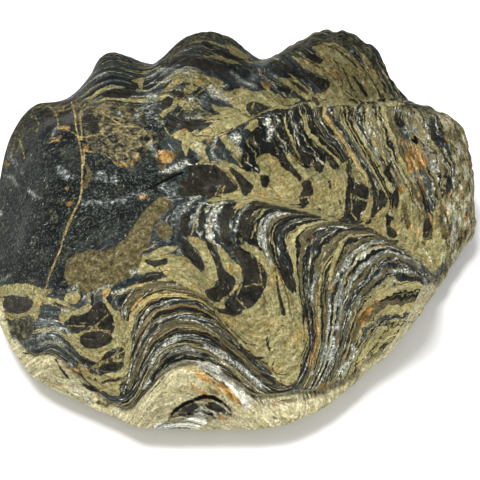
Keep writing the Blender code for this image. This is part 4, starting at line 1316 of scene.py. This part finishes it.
@dataclass
class ShellStone:
    """Polished fossil oyster stone: thin shell layers, mud, spar and iron stain.

    The layers lie along the growth lines. The markings are laid over them one by one,
    each with an edge that noise makes ragged.
    """

    name: str = "polished_shell_stone"
    fold_ages: tuple[float, float] = (45.0, 100.0)
    tree: bpy.types.NodeTree = field(init=False)
    place: Socket = field(init=False)
    age: Socket = field(init=False)
    along: Socket = field(init=False)
    streaks: Socket = field(init=False)
    folded: Socket = field(init=False)

    def build(self) -> bpy.types.Material:
        """The material's node tree, from the layers up to the thin lines."""
        material = bpy.data.materials.new(self.name)
        material.use_nodes = True
        self.tree = material.node_tree
        self.tree.nodes.clear()
        metres = add_node(self.tree, "ShaderNodeTexCoord").outputs["Object"]
        millimetres = {0: metres, 1: (1000, 1000, 1000)}
        self.place = add_node(self.tree, "ShaderNodeVectorMath", millimetres, operation="MULTIPLY").outputs[0]
        self.growth()
        coat = self.layers()
        for mark in FOLD_LAYERS:
            coat = self.lay(coat, self.inside(mark, 2.5, 1.2, 3.0), self.fold(mark))
        coat = self.lay(coat, self.inside(Mark.HUMP, 6.0, 3.0, 6.0), self.hump())
        dusty = self.both(self.inside(Mark.NET, 3.0, 3.0, 3.0), self.share(3.0, 0.42, 0.56))
        coat = self.lay(coat, dusty, Coat(self.cloud(1.6, ((0.36, "#2e2c22"), (0.5, "#574f37"), (0.66, "#827656"))), 0.6))
        veins = self.cloud(0.8, ((0.35, "#57523a"), (0.6, "#857c58")))
        coat = self.lay(coat, self.net(), Coat(veins, 0.6))
        coat = self.wall(coat)
        coat = self.lay(coat, self.inside(Mark.ROUGH, 2.0, 1.5, 2.0), self.rough())
        coat = self.lay(coat, self.inside(Mark.FILM, 2.5, 1.5, 1.6), self.film())
        coat = self.lay(coat, self.inside(Mark.CREAM, 1.5, 0.8, 1.2), self.cream())
        coat = self.grey(coat)
        coat = self.khaki(coat)
        coat = self.lay(coat, self.inside(Mark.BROWN, 2.0, 0.8, 1.6), self.brown())
        # Black lenses, and painted shade of the overhang in the hollow under the right fold's crest.
        coat = self.lay(coat, self.inside(Mark.LENS_AND_SHADE, 1.0, 0.4, 1.4), self.lens())
        tan = self.cloud(0.7, ((0.4, "#6f6540"), (0.6, "#93885a")))
        coat = self.lay(coat, self.both(self.thin(Line.TAN, 0.7), self.share(1.5, 0.4, 0.5)), Coat(tan, 0.6))
        coat = self.lay(coat, self.both(self.thin(Line.DARK, 0.7), self.share(1.0, 0.4, 0.54)), Coat(linear("#15130f"), 0.6))
        vein = self.cloud(1.2, ((0.36, "#5f4d2c"), (0.5, "#8d784c"), (0.64, "#b9a67c")))
        coat = self.lay(coat, self.thin(Line.VEIN, 0.8), Coat(vein, 0.6))
        flecks = self.share(0.6, 0.645, 0.74, self.streaks)
        coat = self.lay(coat, flecks, Coat(linear("#8f8f7a"), 0.5))
        coat = self.spar(coat)
        stain = self.both(self.inside(Mark.OCHRE, 1.6, 1.2, 1.4), self.share(1.2, 0.38, 0.52, self.streaks))
        coat = self.lay(coat, stain, self.ochre())
        # Painted shade: near black in open cracks and in a furrow.
        coat = self.lay(coat, self.inside(Mark.CRACK_SHADE, 0.8, 0.5, 2.0), Coat(linear("#0d0b08"), 0.8))
        self.finish(coat)
        return material

    def grain(self, colour: Colour) -> Socket:
        """Colour made darker and lighter by fine grains and by streaks along the layers, and darkened towards the back
        by painted shade.
        """
        blend = {0: self.folded, 2: self.noise(1.6), 3: self.noise(1.0, self.streaks)}
        streaks = add_node(self.tree, "ShaderNodeMix", blend, data_type="FLOAT").outputs[0]
        for noise in (self.noise(0.55), streaks):
            shade = {0: noise, 1: 0.28, 2: 0.72, 3: 0.5, 4: 1.5}
            scaled = {0: colour, 3: add_node(self.tree, "ShaderNodeMapRange", shade).outputs[0]}
            colour = add_node(self.tree, "ShaderNodeVectorMath", scaled, operation="SCALE").outputs[0]
        # Painted shade: towards the back, from y 12 to 34 mm, the colour drops to about half.
        back = add_node(self.tree, "ShaderNodeSeparateXYZ", {0: self.place}).outputs[1]
        back_shade = add_node(self.tree, "ShaderNodeMapRange", {0: back, 1: 12.0, 2: 34.0, 3: 1.0, 4: 0.52}).outputs[0]
        return add_node(self.tree, "ShaderNodeVectorMath", {0: colour, 3: back_shade}, operation="SCALE").outputs[0]

    def finish(self, coat: Coat) -> None:
        """Joins the topmost coat to the shader and gives the whole a fine bump."""
        pores = {"Vector": self.place, "Scale": 1.8, "Detail": 4, "Roughness": 0.7}
        bump = {
            "Height": add_node(self.tree, "ShaderNodeTexNoise", pores).outputs["Fac"],
            "Strength": 0.8,
            "Distance": 0.2 * MM,
        }
        ridges = {
            "Height": self.both(self.noise(1.0, self.streaks), self.folded),
            "Strength": 0.8,
            "Distance": 0.25 * MM,
            "Normal": add_node(self.tree, "ShaderNodeBump", bump).outputs[0],
        }
        shader = add_node(
            self.tree,
            "ShaderNodeBsdfPrincipled",
            {
                "Base Color": self.grain(coat.colour),
                "Roughness": coat.roughness,
                "Normal": add_node(self.tree, "ShaderNodeBump", ridges).outputs[0],
            },
        )
        shader.inputs["IOR"].default_value = 1.5
        shader.inputs["Specular IOR Level"].default_value = 0.05
        add_node(self.tree, "ShaderNodeOutputMaterial", {0: shader.outputs[0]})

    def growth(self) -> None:
        """Age with a slow drift, where the shell is folded, and two noise spaces whose first axis is that age.

        What is drawn in them runs along the layers: far along them in the first, and in
        short streaks in the second.
        """
        age = add_node(self.tree, "ShaderNodeAttribute", attribute_name="age").outputs["Fac"]
        drift = add_node(self.tree, "ShaderNodeTexNoise", {"Vector": self.place, "Scale": 0.3, "Detail": 7, "Roughness": 0.62})
        even = add_node(self.tree, "ShaderNodeMath", {0: drift.outputs["Fac"], 1: 0.5}, operation="SUBTRACT")
        moved = {0: even.outputs[0], 1: 4.0, 2: age}
        self.age = add_node(self.tree, "ShaderNodeMath", moved, operation="MULTIPLY_ADD").outputs[0]
        spread = add_node(self.tree, "ShaderNodeCombineXYZ", {0: self.age}).outputs[0]
        spaces = []
        for stretch in (0.06, 0.3):
            slow = {0: self.place, 1: (stretch, stretch, stretch), 2: spread}
            spaces.append(add_node(self.tree, "ShaderNodeVectorMath", slow, operation="MULTIPLY_ADD").outputs[0])
        self.along, self.streaks = spaces
        self.folded = add_node(self.tree, "ShaderNodeMapRange", {0: self.age, 1: 40.0, 2: 52.0}).outputs[0]

    def noise(self, size: float, vector: Socket | None = None) -> Socket:
        """Noise whose largest lumps have a size in millimetres and whose finest are a little under a pixel."""
        detail = max(1.0, math.log2(size / 0.14))
        inputs = {"Vector": vector or self.place, "Scale": 1 / size, "Detail": detail, "Roughness": 0.66}
        return add_node(self.tree, "ShaderNodeTexNoise", inputs).outputs["Fac"]

    def share(self, size: float, low: float, high: float, vector: Socket | None = None,
              shift: Socket | float = 0.0) -> Socket:
        """Weight from noise with lumps of a size in millimetres: 0 below low, 1 above high."""
        noise = self.noise(size, vector)
        moved = add_node(self.tree, "ShaderNodeMath", {0: noise, 1: shift}, operation="ADD").outputs[0]
        return add_node(self.tree, "ShaderNodeMapRange", {0: moved, 1: low, 2: high}).outputs[0]

    def cloud(self, size: float, stops: tuple[tuple[float, str], ...], vector: Socket | None = None) -> Socket:
        """Colour from noise with lumps of a size in millimetres, through a ramp of colours."""
        ramp = add_node(self.tree, "ShaderNodeValToRGB", {0: self.noise(size, vector)})
        elements = ramp.color_ramp.elements
        elements.remove(elements[1])
        elements[0].position, elements[0].color = stops[0][0], linear(stops[0][1])
        for position, hex_colour in stops[1:]:
            elements.new(position).color = linear(hex_colour)
        return ramp.outputs[0]

    def lay(self, under: Coat, weight: Socket, over: Coat) -> Coat:
        """Lays one coat over another: each value goes from the one's to the other's as weight goes 0 to 1."""
        colours = {0: weight, 6: under.colour, 7: over.colour}
        roughs = {0: weight, 2: under.roughness, 3: over.roughness}
        return Coat(
            add_node(self.tree, "ShaderNodeMix", colours, data_type="RGBA").outputs[2],
            add_node(self.tree, "ShaderNodeMix", roughs, data_type="FLOAT").outputs[0],
        )

    def both(self, first: Socket, second: Socket) -> Socket:
        """Product of two weights."""
        return add_node(self.tree, "ShaderNodeMath", {0: first, 1: second}, operation="MULTIPLY").outputs[0]

    def ragged(self, mark: Mark, ragged: float, size: float) -> Socket:
        """A marking's distance in pixels, moved to and fro by noise."""
        distance = add_node(self.tree, "ShaderNodeAttribute", attribute_name=mark.value).outputs["Fac"]
        even = add_node(self.tree, "ShaderNodeMath", {0: self.noise(size), 1: 0.5}, operation="SUBTRACT").outputs[0]
        return add_node(
            self.tree, "ShaderNodeMath", {0: even, 1: 4 * ragged, 2: distance}, operation="MULTIPLY_ADD"
        ).outputs[0]

    def inside(self, mark: Mark, ragged: float, edge: float, size: float) -> Socket:
        """Weight of a marking: 1 inside it and 0 outside, over an edge given in pixels."""
        moved = self.ragged(mark, ragged, size)
        return add_node(self.tree, "ShaderNodeMapRange", {0: moved, 1: edge, 2: -edge}).outputs[0]

    def thin(self, line: Line, half: float) -> Socket:
        """Weight of thin lines whose half width is given in pixels."""
        side = add_node(self.tree, "ShaderNodeAttribute", attribute_name=f"{line.value}_side").outputs["Fac"]
        away = add_node(self.tree, "ShaderNodeAttribute", attribute_name=f"{line.value}_away").outputs["Fac"]
        wander = {0: self.noise(0.8), 1: 3.0, 2: side}
        wander = add_node(self.tree, "ShaderNodeMath", wander, operation="MULTIPLY_ADD").outputs[0]
        even = add_node(self.tree, "ShaderNodeMath", {0: wander, 1: 1.5}, operation="SUBTRACT").outputs[0]
        width = add_node(self.tree, "ShaderNodeMath", {0: even}, operation="ABSOLUTE").outputs[0]
        near = add_node(self.tree, "ShaderNodeMapRange", {0: width, 1: half + 0.4, 2: half - 0.4}).outputs[0]
        close = add_node(self.tree, "ShaderNodeMapRange", {0: away, 1: 3.2, 2: 2.2}).outputs[0]
        return self.both(near, close)

    def lean(self, mark: Mark, most: float) -> Socket:
        """Shift of a noise's threshold, from less than none far outside a marking to most inside it."""
        distance = add_node(self.tree, "ShaderNodeAttribute", attribute_name=mark.value).outputs["Fac"]
        return add_node(self.tree, "ShaderNodeMapRange", {0: distance, 1: 12.0, 2: -8.0, 3: -0.04, 4: most}).outputs[0]

    def layers(self) -> Coat:
        """Layers that aren't traced: black prismatic shell with lines of khaki, grey and speckled white."""
        black = self.cloud(1.6, ((0.3, "#15191a"), (0.5, "#272c2c"), (0.7, "#454c48")), self.along)
        coat = Coat(black, 0.38)
        grey = self.both(self.share(1.3, 0.52, 0.6, self.along), self.share(0.7, 0.4, 0.6))
        coat = self.lay(coat, grey, Coat(linear("#5b645e"), 0.45))
        khaki = self.share(2.4, 0.535, 0.55, self.along, self.lean(Mark.KHAKI_LAYERS, 0.10))
        earth = self.cloud(1.3, ((0.35, "#6b6240"), (0.5, "#8d8559"), (0.65, "#a69e70")))
        coat = self.lay(coat, khaki, Coat(earth, 0.55))
        rust = self.share(1.1, 0.64, 0.67, self.along)
        coat = self.lay(coat, rust, Coat(linear("#84693a"), 0.55))
        white = self.share(1.1, 0.56, 0.66, self.along, self.lean(Mark.WHITE_LAYERS, 0.10))
        pale = self.cloud(0.5, ((0.4, "#9a9e92"), (0.6, "#dcdccb")))
        return self.lay(coat, self.both(white, self.share(0.5, 0.4, 0.62, self.streaks)), Coat(pale, 0.45))

    def fold(self, mark: Mark) -> Coat:
        """A fold's traced layers by age, each shaded in fine streaks and sprinkled with its crystals."""
        first, last = self.fold_ages
        ramp = add_node(
            self.tree,
            "ShaderNodeValToRGB",
            {0: add_node(self.tree, "ShaderNodeMapRange", {0: self.age, 1: first, 2: last}).outputs[0]},
        )
        ramp.color_ramp.interpolation = "CONSTANT"
        elements = ramp.color_ramp.elements
        elements.remove(elements[1])
        for number, (age, layer) in enumerate(FOLD_LAYERS[mark]):
            hex_colour, crystals = layer.value
            stop = elements.new((age - first) / (last - first)) if number else elements[0]
            stop.color = (*linear(hex_colour)[:3], crystals)
        coat = Coat(ramp.outputs[0], 0.42)
        coat = self.lay(coat, self.share(1.0, 0.6, 0.64, self.along), Coat(linear("#80774f"), 0.5))
        coat = self.lay(coat, self.share(0.7, 0.64, 0.68, self.along), Coat(linear("#6e5733"), 0.5))
        coat = self.lay(coat, self.share(0.8, 0.54, 0.58, self.along), Coat(linear("#1c1c17"), 0.45))
        earth = self.both(self.share(0.8, 0.56, 0.64, self.streaks), self.share(2.5, 0.42, 0.56))
        coat = self.lay(coat, earth, Coat(linear("#716a49"), 0.5))
        rich = add_node(self.tree, "ShaderNodeMath", {0: ramp.outputs[1], 1: 0.2}, operation="MULTIPLY").outputs[0]
        crystals = self.share(0.8, 0.64, 0.75, self.streaks, shift=rich)
        pale = self.cloud(0.6, ((0.36, "#67695c"), (0.5, "#a1a08c"), (0.64, "#e2e0ce")))
        return self.lay(coat, crystals, Coat(pale, 0.45))

    def hump(self) -> Coat:
        """Blue-black prismatic shell, ground smooth: grey-green crystal grain shows through."""
        ground = self.cloud(7.0, ((0.34, "#0b0e0d"), (0.5, "#171a19"), (0.66, "#30342f")))
        coat = Coat(ground, 0.5)
        coat = self.lay(coat, self.share(9.0, 0.5, 0.62), Coat(linear("#0a0c0b"), 0.5))
        grain = self.share(0.6, 0.52, 0.72)
        coat = self.lay(coat, grain, Coat(linear("#4e5650"), 0.5))
        worn = self.both(self.share(5.0, 0.55, 0.66), self.share(0.9, 0.44, 0.6))
        coat = self.lay(coat, worn, Coat(linear("#4d4c3b"), 0.5))
        return self.lay(coat, self.share(0.7, 0.7, 0.76), Coat(linear("#9a9a88"), 0.5))

    def net(self) -> Socket:
        """Weight of a net of mud veins: the edges of uneven cells."""
        cells = add_node(self.tree, "ShaderNodeTexVoronoi", {"Vector": self.place, "Scale": 0.28}, feature="DISTANCE_TO_EDGE")
        line = add_node(self.tree, "ShaderNodeMapRange", {0: cells.outputs["Distance"], 1: 0.1, 2: 0.03}).outputs[0]
        patchy = self.share(2.5, 0.4, 0.55)
        return self.both(self.both(line, patchy), self.inside(Mark.NET, 3.0, 3.0, 3.0))

    def wall(self, under: Coat) -> Coat:
        """The wall under the margin: pale chalky mud at the front, darker grey stone at the back."""
        down = add_node(self.tree, "ShaderNodeAttribute", attribute_name="down").outputs["Fac"]
        low = add_node(self.tree, "ShaderNodeMapRange", {0: down, 1: 0.8, 2: 2.0}).outputs[0]
        back = self.cloud(2.0, ((0.35, "#2e302a"), (0.5, "#56543f"), (0.62, "#857e5d")), self.streaks)
        coat = self.lay(under, low, Coat(back, 0.65))
        axes = add_node(self.tree, "ShaderNodeSeparateXYZ", {0: self.place}).outputs
        front = add_node(self.tree, "ShaderNodeMapRange", {0: axes[1], 1: 6.0, 2: -6.0}).outputs[0]
        coat = self.lay(coat, self.both(low, front), self.chalk())
        right = add_node(self.tree, "ShaderNodeMapRange", {0: axes[0], 1: 45.0, 2: 51.0}).outputs[0]
        return self.lay(coat, self.both(low, right), self.rough())

    def rough(self) -> Coat:
        """Broken layer edges: grey, white and tan grains side by side."""
        grains = ((0.3, "#22241f"), (0.42, "#4b4936"), (0.5, "#7c744e"), (0.58, "#94917a"), (0.7, "#d3d1bd"))
        coat = Coat(self.cloud(1.2, grains, self.streaks), 0.65)
        coat = self.lay(coat, self.share(1.3, 0.56, 0.62, self.streaks), Coat(linear("#8a6c42"), 0.65))
        coat = self.lay(coat, self.share(0.9, 0.59, 0.65, self.streaks), Coat(linear("#26281f"), 0.65))
        return self.lay(coat, self.share(0.6, 0.62, 0.74), Coat(linear("#c4c3b2"), 0.6))

    def cream(self) -> Coat:
        """White calcite at the layers' broken ends, with grey mottles."""
        stops = ((0.3, "#565a52"), (0.42, "#93958a"), (0.5, "#c4c2b0"), (0.62, "#ebe8d8"))
        return Coat(self.cloud(1.4, stops, self.streaks), 0.6)

    def chalk(self) -> Coat:
        """Chalky mud in thin layers."""
        stops = ((0.3, "#877f5f"), (0.44, "#a19973"), (0.54, "#b0a884"), (0.68, "#c6bf9c"))
        coat = Coat(self.cloud(1.5, stops, self.streaks), 0.7)
        coat = self.lay(coat, self.share(1.6, 0.62, 0.68), Coat(linear("#6f6c58"), 0.65))
        return self.lay(coat, self.share(0.7, 0.66, 0.72), Coat(linear("#ece8d2"), 0.6))

    def grey(self, under: Coat) -> Coat:
        """Blue-grey calcite with white specks."""
        weight = self.both(self.inside(Mark.GREY, 2.6, 2.6, 2.0), self.share(0.9, 0.42, 0.6))
        coat = self.cloud(0.8, ((0.36, "#444b4a"), (0.5, "#6a7270"), (0.64, "#a9ada3")))
        return self.lay(under, weight, Coat(coat, 0.45))

    def film(self) -> Coat:
        """Grey-green weathered film on crests that the polish missed."""
        return Coat(self.cloud(1.2, ((0.3, "#1e1f19"), (0.5, "#403f31"), (0.66, "#6c6950"))), 0.65)

    def khaki(self, under: Coat) -> Coat:
        """Lime mud between the shell layers, polished to a dull olive khaki inside a thin dark seam."""
        near = self.ragged(Mark.KHAKI, 1.3, 1.4)
        seam = add_node(self.tree, "ShaderNodeMapRange", {0: near, 1: 1.6, 2: 0.6}).outputs[0]
        coat = self.lay(under, self.both(seam, self.share(1.6, 0.42, 0.56)), Coat(linear("#2a2517"), 0.55))
        slant = add_node(self.tree, "ShaderNodeMapping", {0: self.place}, vector_type="TEXTURE")
        slant.inputs["Rotation"].default_value = (0.0, 0.0, 0.6)
        slant.inputs["Scale"].default_value = (3.0, 1.0, 1.0)
        stops = ((0.3, "#68623f"), (0.42, "#7e7750"), (0.55, "#8f8960"), (0.7, "#a19b76"))
        mud = Coat(self.cloud(0.9, stops, slant.outputs[0]), 0.55)
        warm = self.cloud(0.9, ((0.3, "#74663c"), (0.5, "#948353"), (0.7, "#b0a06c")), slant.outputs[0])
        mud = self.lay(mud, self.share(5.0, 0.5, 0.64), Coat(warm, 0.55))
        slow = self.share(9.0, 0.45, 0.65)
        mud = self.lay(mud, self.both(slow, self.share(1.5, 0.45, 0.6)), Coat(linear("#7a7048"), 0.6))
        mud = self.lay(mud, self.share(0.9, 0.64, 0.69), Coat(linear("#4a4023"), 0.6))
        mud = self.lay(mud, self.share(1.0, 0.6, 0.66, self.along), Coat(linear("#5c5230"), 0.6))
        mud = self.lay(mud, self.share(1.2, 0.62, 0.72, self.streaks), Coat(linear("#b8af86"), 0.6))
        full = add_node(self.tree, "ShaderNodeMapRange", {0: near, 1: 0.5, 2: -0.3}).outputs[0]
        return self.lay(coat, full, mud)

    def brown(self) -> Coat:
        """Rough unpolished mud with a sandy grain."""
        return Coat(self.cloud(1.0, ((0.3, "#3b3420"), (0.5, "#574f35"), (0.7, "#766c4c"))), 0.8)

    def lens(self) -> Coat:
        """Black calcite lenses, glassy, with a few brown flaws. In the hollow under the right fold's crest the same
        black is painted shade of the overhang.
        """
        coat = Coat(self.cloud(2.5, ((0.35, "#191815"), (0.65, "#35322a"))), 0.33)
        return self.lay(coat, self.share(1.3, 0.66, 0.7), Coat(linear("#5a5038"), 0.5))

    def spar(self, under: Coat) -> Coat:
        """Fibrous white calcite: a grey haze round a core of bright crystals."""
        near = self.ragged(Mark.SPAR, 1.3, 1.2)
        haze = add_node(self.tree, "ShaderNodeMapRange", {0: near, 1: 2.4, 2: -0.6}).outputs[0]
        coat = self.lay(under, self.both(haze, self.share(0.7, 0.42, 0.66)), Coat(linear("#5b635d"), 0.45))
        core = add_node(self.tree, "ShaderNodeMapRange", {0: near, 1: 0.7, 2: -1.0}).outputs[0]
        crystals = self.share(0.5, 0.42, 0.6)
        pale = self.cloud(0.6, ((0.35, "#8f9489"), (0.6, "#dcdac8")))
        coat = self.lay(coat, self.both(core, crystals), Coat(pale, 0.45))
        return self.lay(coat, self.both(self.thin(Line.PALE, 0.5), self.share(0.8, 0.42, 0.56)), Coat(pale, 0.45))

    def ochre(self) -> Coat:
        """Iron-stained crust."""
        return Coat(self.cloud(1.0, ((0.35, "#6b5128"), (0.5, "#9d7840"), (0.65, "#c9a36a")), self.streaks), 0.6)


@dataclass
class Studio:
    """Plain pale floor and soft lights."""

    floor_size: float = 3.0
    floor_colour: str = "#f4f4f4"

    def floor(self) -> bpy.types.Object:
        """A wide matte white sheet under the shell."""
        half = self.floor_size / 2
        mesh = bpy.data.meshes.new("floor")
        mesh.from_pydata([(-half, -half, 0), (half, -half, 0), (half, half, 0), (-half, half, 0)], [], [(0, 1, 2, 3)])
        material = bpy.data.materials.new("matte_white_paper")
        material.use_nodes = True
        shader = material.node_tree.nodes["Principled BSDF"]
        shader.inputs["Base Color"].default_value = linear(self.floor_colour)
        shader.inputs["Roughness"].default_value = 0.9
        shader.inputs["Specular IOR Level"].default_value = 0.0
        mesh.materials.append(material)
        floor = bpy.data.objects.new("floor", mesh)
        bpy.context.scene.collection.objects.link(floor)
        return floor

    def light(self, name: str, place: Place, size: float, power: float) -> None:
        """One square soft box that faces the shell."""
        data = bpy.data.lights.new(name, "AREA")
        data.shape = "SQUARE"
        data.size = size
        data.energy = power
        lamp = bpy.data.objects.new(name, data)
        lamp.location = place
        aim = np.array([0.0, 0.0, 0.02]) - np.array(place)
        flat = math.hypot(aim[0], aim[1])
        lamp.rotation_euler = (math.atan2(flat, -aim[2]), 0.0, math.atan2(aim[1], aim[0]) - math.pi / 2)
        bpy.context.scene.collection.objects.link(lamp)

    def build(self) -> None:
        """The floor, the soft boxes, the pale surroundings and the plain view of colours."""
        self.floor()
        self.light("key_soft_box", (-0.22, 0.14, 1.05), 0.45, 13.2)
        self.light("fill_soft_box", (0.2, -0.9, 0.7), 0.9, 4.6)
        world = bpy.data.worlds.new("pale_surroundings")
        world.use_nodes = True
        world.node_tree.nodes["Background"].inputs[0].default_value = (1, 1, 1, 1)
        world.node_tree.nodes["Background"].inputs[1].default_value = 0.48
        bpy.context.scene.world = world
        bpy.context.scene.view_settings.view_transform = "Standard"


def main() -> None:
    """Builds the camera, the shell and the studio."""
    logging.basicConfig(level=logging.INFO, format="%(name)s: %(message)s")
    camera = PhotoCamera()
    camera.make()
    form = ShellForm(camera)
    mesh, points, ages, down = form.mesh()
    set_attribute(mesh, "age", ages)
    set_attribute(mesh, "down", down)
    Markings(camera).write(mesh, points)
    mesh.materials.append(ShellStone().build())
    shell = bpy.data.objects.new("polished_shell", mesh)
    bpy.context.scene.collection.objects.link(shell)
    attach(shell, "root")
    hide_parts("oyster_shell")
    LOG.info("polished_shell: %d points, %d faces", len(mesh.vertices), len(mesh.polygons))
    Studio().build()
    bpy.context.view_layer.update()


if __name__ == "__main__":
    main()
